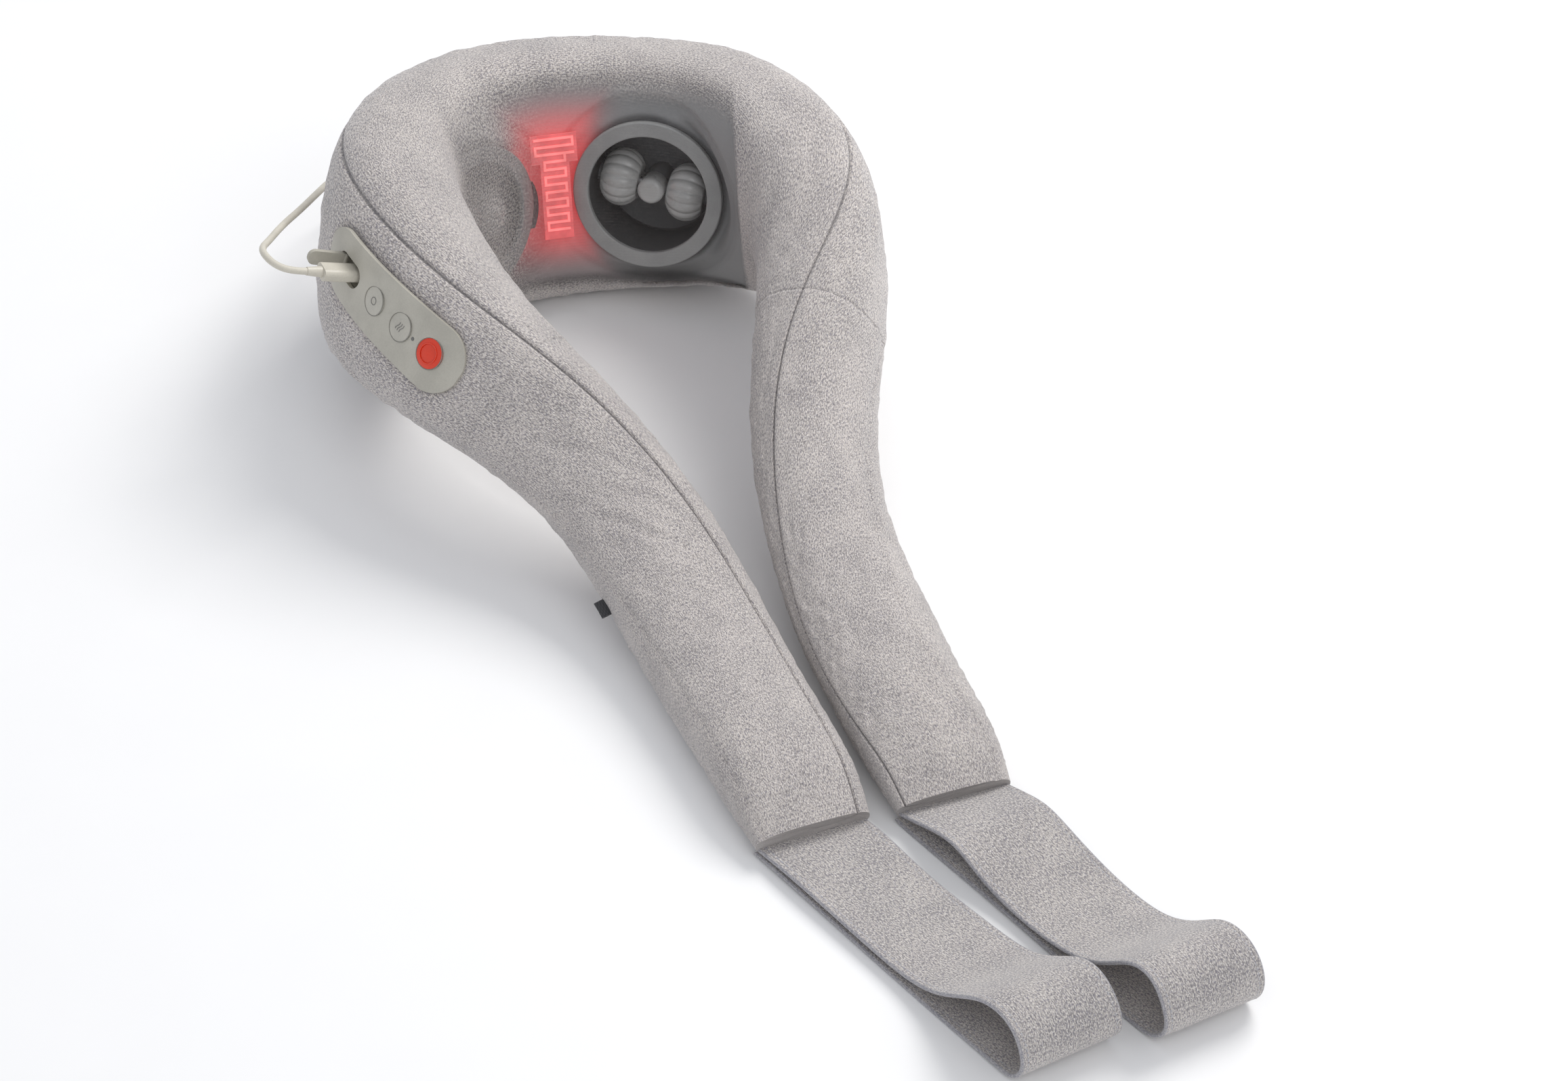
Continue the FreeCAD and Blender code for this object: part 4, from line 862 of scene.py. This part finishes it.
def side_label():
    """Closed bar section from 4 mm inside the arm's edge to the fold, drawn out along the band
    and bowed a little: bow cos(pi x / length)."""
    middle, along, out, across, height, thick = (v[0] for v in band_frames(np.array([LABEL_AT])))
    a = np.linspace(-math.pi / 2, math.pi / 2, 9)
    fold = np.stack([LABEL_SIZE[1] + TAPE_T * np.cos(a), TAPE_T * np.sin(a)], -1)
    section = np.vstack([[[-0.004, -TAPE_T]], fold, [[-0.004, TAPE_T]]])
    x = np.linspace(-LABEL_SIZE[0] / 2, LABEL_SIZE[0] / 2, 12)
    bow = 0.0005 * np.cos(math.pi * x / LABEL_SIZE[0])
    edge = middle - across * (height / 2 - 0.0004)
    points = (edge + along * x[:, None, None] - across * (section[:, 0] * (1 + 0 * x[:, None]))[..., None]
              + out * (section[:, 1] + bow[:, None])[..., None])
    piece = closed_grid("side_label", points)
    return piece


label = side_label()
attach(label, "left_arm")
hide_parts("care_label")
print("side label:", len(label.data.polygons), "faces")

# %% [markdown]
# Finishes are node graphs, and long graphs are easier to read as arithmetic. `Value` wraps one
# socket, so that `1 - mask * 2` adds Math nodes. `Finish` makes the material, adds any other node
# by its type, its settings and its inputs, and sets the shader's sockets.

# %% Writing materials as arithmetic
class Value:
    """One output socket, with the arithmetic that the finishes use."""

    def __init__(self, finish, socket):
        self.finish, self.socket = finish, socket

    def maths(self, operation, first, second=0.0):
        return self.finish.node("Math", {"operation": operation}, {0: first, 1: second})

    def __add__(self, other):
        return self.maths("ADD", self, other)

    def __sub__(self, other):
        return self.maths("SUBTRACT", self, other)

    def __rsub__(self, other):
        return self.maths("SUBTRACT", other, self)

    def __mul__(self, other):
        return self.maths("MULTIPLY", self, other)

    def __truediv__(self, other):
        return self.maths("DIVIDE", self, other)

    __radd__, __rmul__ = __add__, __mul__

    def sine(self):
        return self.maths("SINE", self)

    def absolute(self):
        return self.maths("ABSOLUTE", self)

    def step(self, low, high):
        """0 below low, 1 above high, and an even slide between; the other way round if low > high."""
        flip = low > high
        low, high = min(low, high), max(low, high)
        settings = {"interpolation_type": "SMOOTHSTEP"}
        values = {0: self, 1: low, 2: high, 3: 1.0 if flip else 0.0, 4: 0.0 if flip else 1.0}
        return self.finish.node("MapRange", settings, values)


class Finish:
    """A material under construction: its tree, its shader, and one way to add a node."""

    def __init__(self, name, roughness, metallic=0.0, **fixed):
        self.material = bpy.data.materials.new(name)
        self.material.use_nodes = True
        self.tree = self.material.node_tree
        self.shader = self.tree.nodes["Principled BSDF"]
        self.set("Roughness", roughness)
        self.set("Metallic", metallic)
        for socket, value in fixed.items():
            self.set(socket.replace("_", " "), value)

    def connect(self, socket, value):
        if isinstance(value, Value):
            self.tree.links.new(value.socket, socket)
        elif isinstance(value, tuple) and len(value) == 3 and socket.type == "RGBA":
            socket.default_value = (*value, 1.0)
        else:
            socket.default_value = value

    def set(self, socket, value):
        """A socket of the shader, by name."""
        self.connect(self.shader.inputs[socket], value)
        return self

    def node(self, kind, settings=None, inputs=None, output=0):
        """Any node: its settings first, then its inputs by name or number."""
        made = self.tree.nodes.new("ShaderNode" + kind)
        for key, value in (settings or {}).items():
            setattr(made, key, value)
        for key, value in (inputs or {}).items():
            self.connect(made.inputs[key], value)
        return Value(self, made.outputs[output])

    def place(self):
        """Object coordinates in millimetres."""
        return self.stretch(self.node("TexCoord", output="Object"), (1000, 1000, 1000))

    def cloth(self):
        """The cloth's own coordinates in millimetres: along it, then across it."""
        return self.stretch(self.node("UVMap", {"uv_map": "cloth"}), (1000, 1000, 1000))

    def parts(self, vector):
        """The three numbers of a vector."""
        first = self.node("SeparateXYZ", None, {0: vector})
        return [Value(self, socket) for socket in first.socket.node.outputs]

    def stretch(self, vector, scale):
        return self.node("VectorMath", {"operation": "MULTIPLY"}, {0: vector, 1: scale})

    def noise(self, vector, scale, detail=2.0, roughness=0.5):
        return self.node("TexNoise", None, {"Vector": vector, "Scale": scale, "Detail": detail,
                                            "Roughness": roughness})

    def mix(self, share, first, second):
        """Colour between two colours."""
        return self.node("Mix", {"data_type": "RGBA"}, {0: share, 6: first, 7: second}, output=2)

    def attribute(self, name):
        return self.node("Attribute", {"attribute_name": name}, output="Fac")

    def bump(self, height, distance, strength=1.0):
        """Height in the shader's normal; distance is its depth in metres."""
        return self.set("Normal", self.node("Bump", None, {"Height": height, "Distance": distance,
                                                           "Strength": strength}))


# %% [markdown]
# The knit is a heather: pale and dark fibres are spun into one yarn, so each stitch has its own
# tone, with a few white and a few blue-violet flecks. The stitches are V shapes in columns that
# run along the band. The pattern reads the cloth's own coordinates, so it bends with the cloth.

# %% Knit
def knit_finish(name, pale, dark, window=False, hem_and_edge_shade=False):
    """Heathered knit. Each stitch's tone comes from noise stretched along the column, and its
    bump is |sin| across the column times a slanted wave along it."""
    knit = Finish(name, 0.95, Sheen_Weight=0.35, Sheen_Roughness=0.5)
    knit.set("Specular IOR Level", 0.2)
    cloth = knit.cloth()
    along, across, _ = knit.parts(cloth)
    column = (across * (math.pi / 1.1)).sine().absolute()
    slant = (along * (2 * math.pi / 1.3) + column * 2.2).sine()
    stretched = knit.stretch(cloth, (0.55, 1.0, 1.0))
    yarn = knit.noise(stretched, 1.1, 1.0, 0.5)
    fibre = knit.noise(stretched, 2.8, 1.0, 0.6)
    drift = knit.noise(cloth, 0.035, 2.0, 0.5)
    tone = (yarn * 0.6 + fibre * 0.25 + drift * 0.15).step(0.40, 0.60)
    colour = knit.mix(tone, dark, pale)
    white = knit.noise(knit.stretch(cloth, (0.8, 1.3, 1.0)), 1.25, 0.0).step(0.58, 0.68)
    violet = knit.noise(knit.stretch(cloth, (0.7, 1.1, 1.0)), 1.05, 0.0).step(0.40, 0.32)
    colour = knit.mix(white * 0.6, colour, (0.82, 0.79, 0.75))
    colour = knit.mix(violet * 0.45, colour, (0.19, 0.18, 0.24))
    height = column * 0.6 + slant * 0.25 + yarn * 0.6
    if window:
        seam = knit.attribute("seam").step(0.45, 0.95)
        colour = knit.mix(seam * 0.6, colour, (0.10, 0.095, 0.10))
        stitch = (along * (2 * math.pi / 2.6)).sine()
        height = height + knit.attribute("seam") * stitch * 0.5
        clear = knit.attribute("window")
        weave = 1 - column * 0.06
        knit.set("Alpha", 1 - clear * weave)
    if hem_and_edge_shade:
        edge = knit.attribute("edge") * 1000
        thread = ((edge - 3.7).absolute()).step(0.42, 0.24)
        dash = (along * (2 * math.pi / 3.0)).sine().step(-0.55, -0.2)
        colour = knit.mix(thread * dash * 0.75, colour, (0.42, 0.42, 0.46))
        # Painted shade: the strap's rounded edges are mixed half way to a cool grey, as if turned away from
        # the light.
        colour = knit.mix(edge.step(1.5, 0.7) * 0.5, colour, (0.27, 0.28, 0.33))
        height = height + thread * dash * 0.8
    knit.set("Base Color", colour)
    knit.bump(height, 0.00022, 0.75)
    return knit.material


knit = knit_finish("heathered_knit", (0.61, 0.56, 0.525), (0.255, 0.235, 0.235), window=True)
webbing = knit_finish("loop_knit", (0.55, 0.51, 0.48), (0.25, 0.235, 0.24), hem_and_edge_shade=True)
print("knit finishes:", knit.name, webbing.name)

# %% [markdown]
# Moulded plastic is not one flat colour either. It has a fine spark-eroded grain, a faint unevenness
# in tone and gloss, and a little dirt or wear. One function gives all of that from a few numbers.

# %% Moulded plastic and rubber
def moulded(name, colour, roughness, grain=0.00004, grain_size=0.45, drift=0.06, **fixed):
    """Grain from fine noise in the bump; tone and gloss drift with slow noise."""
    plastic = Finish(name, roughness, **fixed)
    place = plastic.place()
    slow = plastic.noise(place, 0.045, 3.0, 0.55)
    speck = plastic.noise(place, 1.1, 2.0, 0.6)
    darker = tuple(c * (1 - 2.2 * drift) for c in colour)
    lighter = tuple(min(c * (1 + drift), 1.0) for c in colour)
    tone = (slow * 0.7 + speck * 0.3).step(0.3, 0.7)
    plastic.set("Base Color", plastic.mix(tone, darker, lighter))
    plastic.set("Roughness", slow * 0.16 + (roughness - 0.08))
    plastic.bump(plastic.noise(place, 1 / grain_size, 2.0, 0.6), grain, 0.6)
    return plastic.material


def brushed(name, colour, roughness, lines=(1, 1, 14), metallic=1.0):
    """Metal with fine lines: noise stretched along two directions, in gloss, tone and bump."""
    metal = Finish(name, roughness, metallic)
    scratch = metal.noise(metal.stretch(metal.place(), lines), 0.9, 3.0, 0.6)
    metal.set("Base Color", metal.mix(scratch, tuple(c * 0.82 for c in colour), colour))
    metal.set("Roughness", scratch * 0.22 + (roughness - 0.1))
    metal.bump(scratch, 0.00002, 0.5)
    return metal.material


def plate_finish():
    """Grey plate: darker towards its rim, with painted shade over the sunken shelf round each head, a
    darker painted shadow line behind each ring, and a painted red glow round the heater."""
    plate = Finish("front_plate_grey", 0.62)
    place = plate.place()
    rim, reach = plate.attribute("rim"), plate.attribute("reach") * 1000
    slow = plate.noise(place, 0.06, 2.0)
    colour = plate.mix(rim.step(0.02, 0.14), (0.13, 0.132, 0.135), (0.285, 0.288, 0.288))
    # Painted shade: within 56 mm of a head's axis, over the sunken shelf, the grey is darker, and within
    # 44.5 mm, behind the ring, it is darker still.
    colour = plate.mix(reach.step(58.5, 56.0) * 0.35, colour, (0.13, 0.133, 0.135))
    colour = plate.mix(reach.step(48.0, 44.5) * 0.8, colour, (0.045, 0.045, 0.047))
    colour = plate.mix(slow.step(0.3, 0.7) * 0.15, colour, (0.30, 0.30, 0.30))
    glow = plate.attribute("glow")
    plate.set("Base Color", plate.mix(glow * 0.75, colour, (0.55, 0.14, 0.14)))
    plate.set("Emission Color", plate.mix(glow * glow, (0.0, 0.0, 0.0), (0.85, 0.085, 0.095)))
    plate.set("Emission Strength", 0.34)
    plate.bump(plate.noise(place, 2.0, 2.0), 0.00004, 0.6)
    return plate.material


def glowing(name, colour, heat, strength):
    """Heater film or track: red, and hotter in places, by slow noise."""
    film = Finish(name, 0.5)
    patch = film.noise(film.place(), 0.11, 2.0).step(0.3, 0.75)
    film.set("Base Color", film.mix(patch, colour, tuple(min(1.0, c * 1.25) for c in colour)))
    film.set("Emission Color", film.mix(patch, tuple(c * 0.75 for c in heat), heat))
    film.set("Emission Strength", strength)
    film.bump(film.noise(film.place(), 1.4), 0.00003, 0.5)
    return film.material


def woven(name, colour, pitch=0.7):
    """Plain weave in two directions of Object space, for the label."""
    weave = Finish(name, 0.85, Sheen_Weight=0.2)
    place = weave.place()
    x, _, z = weave.parts(place)
    cross = (x * (math.pi / pitch)).sine() * (z * (math.pi / pitch)).sine()
    weave.set("Base Color", weave.mix(cross.step(-0.6, 0.8), tuple(c * 0.6 for c in colour), colour))
    weave.bump(cross, 0.00015, 0.7)
    return weave.material


FINISHES = {
    "dark_housing": moulded("black_housing", (0.075, 0.075, 0.077), 0.5),
    "ring_grey": moulded("ring_grey", (0.31, 0.312, 0.308), 0.48),
    "carrier_grey": moulded("carrier_grey", (0.12, 0.122, 0.125), 0.45),
    "roller_plastic": moulded("roller_grey", (0.42, 0.42, 0.41), 0.28, grain=0.00001,
                              Coat_Weight=0.35, Coat_Roughness=0.18),
    "steel": brushed("plated_steel", (0.60, 0.60, 0.61), 0.3),
    "nylon": moulded("natural_nylon", (0.72, 0.70, 0.64), 0.4, Subsurface_Weight=0.08),
    "brass": brushed("turned_brass", (0.76, 0.56, 0.26), 0.28),
    "motor_steel": brushed("motor_can", (0.52, 0.52, 0.53), 0.34, lines=(14, 14, 1)),
    "bridge_plastic": moulded("bridge_grey", (0.10, 0.105, 0.11), 0.5),
    "heater_pad": glowing("heater_film", (0.58, 0.14, 0.14), (0.85, 0.085, 0.095), 0.42),
    "heater_wire": glowing("heater_track", (0.78, 0.25, 0.24), (0.95, 0.16, 0.16), 0.6),
    "panel_plastic": moulded("panel_warm_grey", (0.475, 0.455, 0.395), 0.42),
    "circuit_board": moulded("solder_mask", (0.02, 0.16, 0.06), 0.35, Coat_Weight=0.5),
    "button_plastic": moulded("button_warm_grey", (0.50, 0.48, 0.42), 0.4),
    "power_red": moulded("power_red", (0.76, 0.045, 0.012), 0.36, drift=0.04, Coat_Weight=0.25,
                         Coat_Roughness=0.25),
    "switch_black": moulded("switch_black", (0.02, 0.02, 0.02), 0.5),
    "lens": moulded("frosted_lens", (0.16, 0.16, 0.15), 0.3, grain=0.00001),
    "flap_rubber": moulded("flap_rubber", (0.43, 0.41, 0.35), 0.6, grain=0.00005),
    "battery_wrap": moulded("shrink_wrap", (0.03, 0.07, 0.30), 0.3, Coat_Weight=0.4),
    "battery_can": brushed("nickel_can", (0.58, 0.58, 0.60), 0.3, lines=(14, 1, 14)),
    "knit": knit, "lining": knit, "webbing": webbing,
    "label_fabric": woven("label_weave", (0.06, 0.06, 0.065)),
    "plug_plastic": moulded("plug_ivory", (0.62, 0.585, 0.50), 0.38),
    "cord_rubber": moulded("cord_ivory", (0.63, 0.595, 0.51), 0.5, grain=0.00006),
    "tie_rubber": moulded("tie_black", (0.02, 0.02, 0.021), 0.55, grain=0.00008),
}
mark_grey = moulded("mark_grey", (0.21, 0.205, 0.19), 0.5)
# Painted shade: the grey of the rings round the buttons is darker than the panel, for the shade in the gap.
button_gap_shade = moulded("button_gap_shade", (0.24, 0.232, 0.205), 0.55)
print("finishes:", len(FINISHES) + 3)

# %% Giving each piece its finish
for entry in frame["record"]["subparts"]:
    node = frame["nodes"][entry["node"]]
    for slot in node.material_slots:
        slot.material = FINISHES[entry["material_slot"]]


def dress(pieces, material):
    for piece in pieces:
        piece.data.materials.clear()
        piece.data.materials.append(material)


dress([collar_cover, left_cover, right_cover], knit)
dress([o for o in bpy.data.objects if o.name.endswith("_strap")], webbing)
dress(rollers + caps, FINISHES["roller_plastic"])
dress([plate], plate_finish())
dress([lead], FINISHES["cord_rubber"])
dress(marks, mark_grey)
dress(grooves, button_gap_shade)
dress([crown], FINISHES["power_red"])
dress([label], FINISHES["label_fabric"])
floor_paint = Finish("studio_floor", 0.85)
speck = floor_paint.noise(floor_paint.place(), 0.02, 2.0)
floor_paint.set("Base Color", floor_paint.mix(speck, (0.93, 0.93, 0.93), (0.95, 0.95, 0.95)))
dress([floor], floor_paint.material)
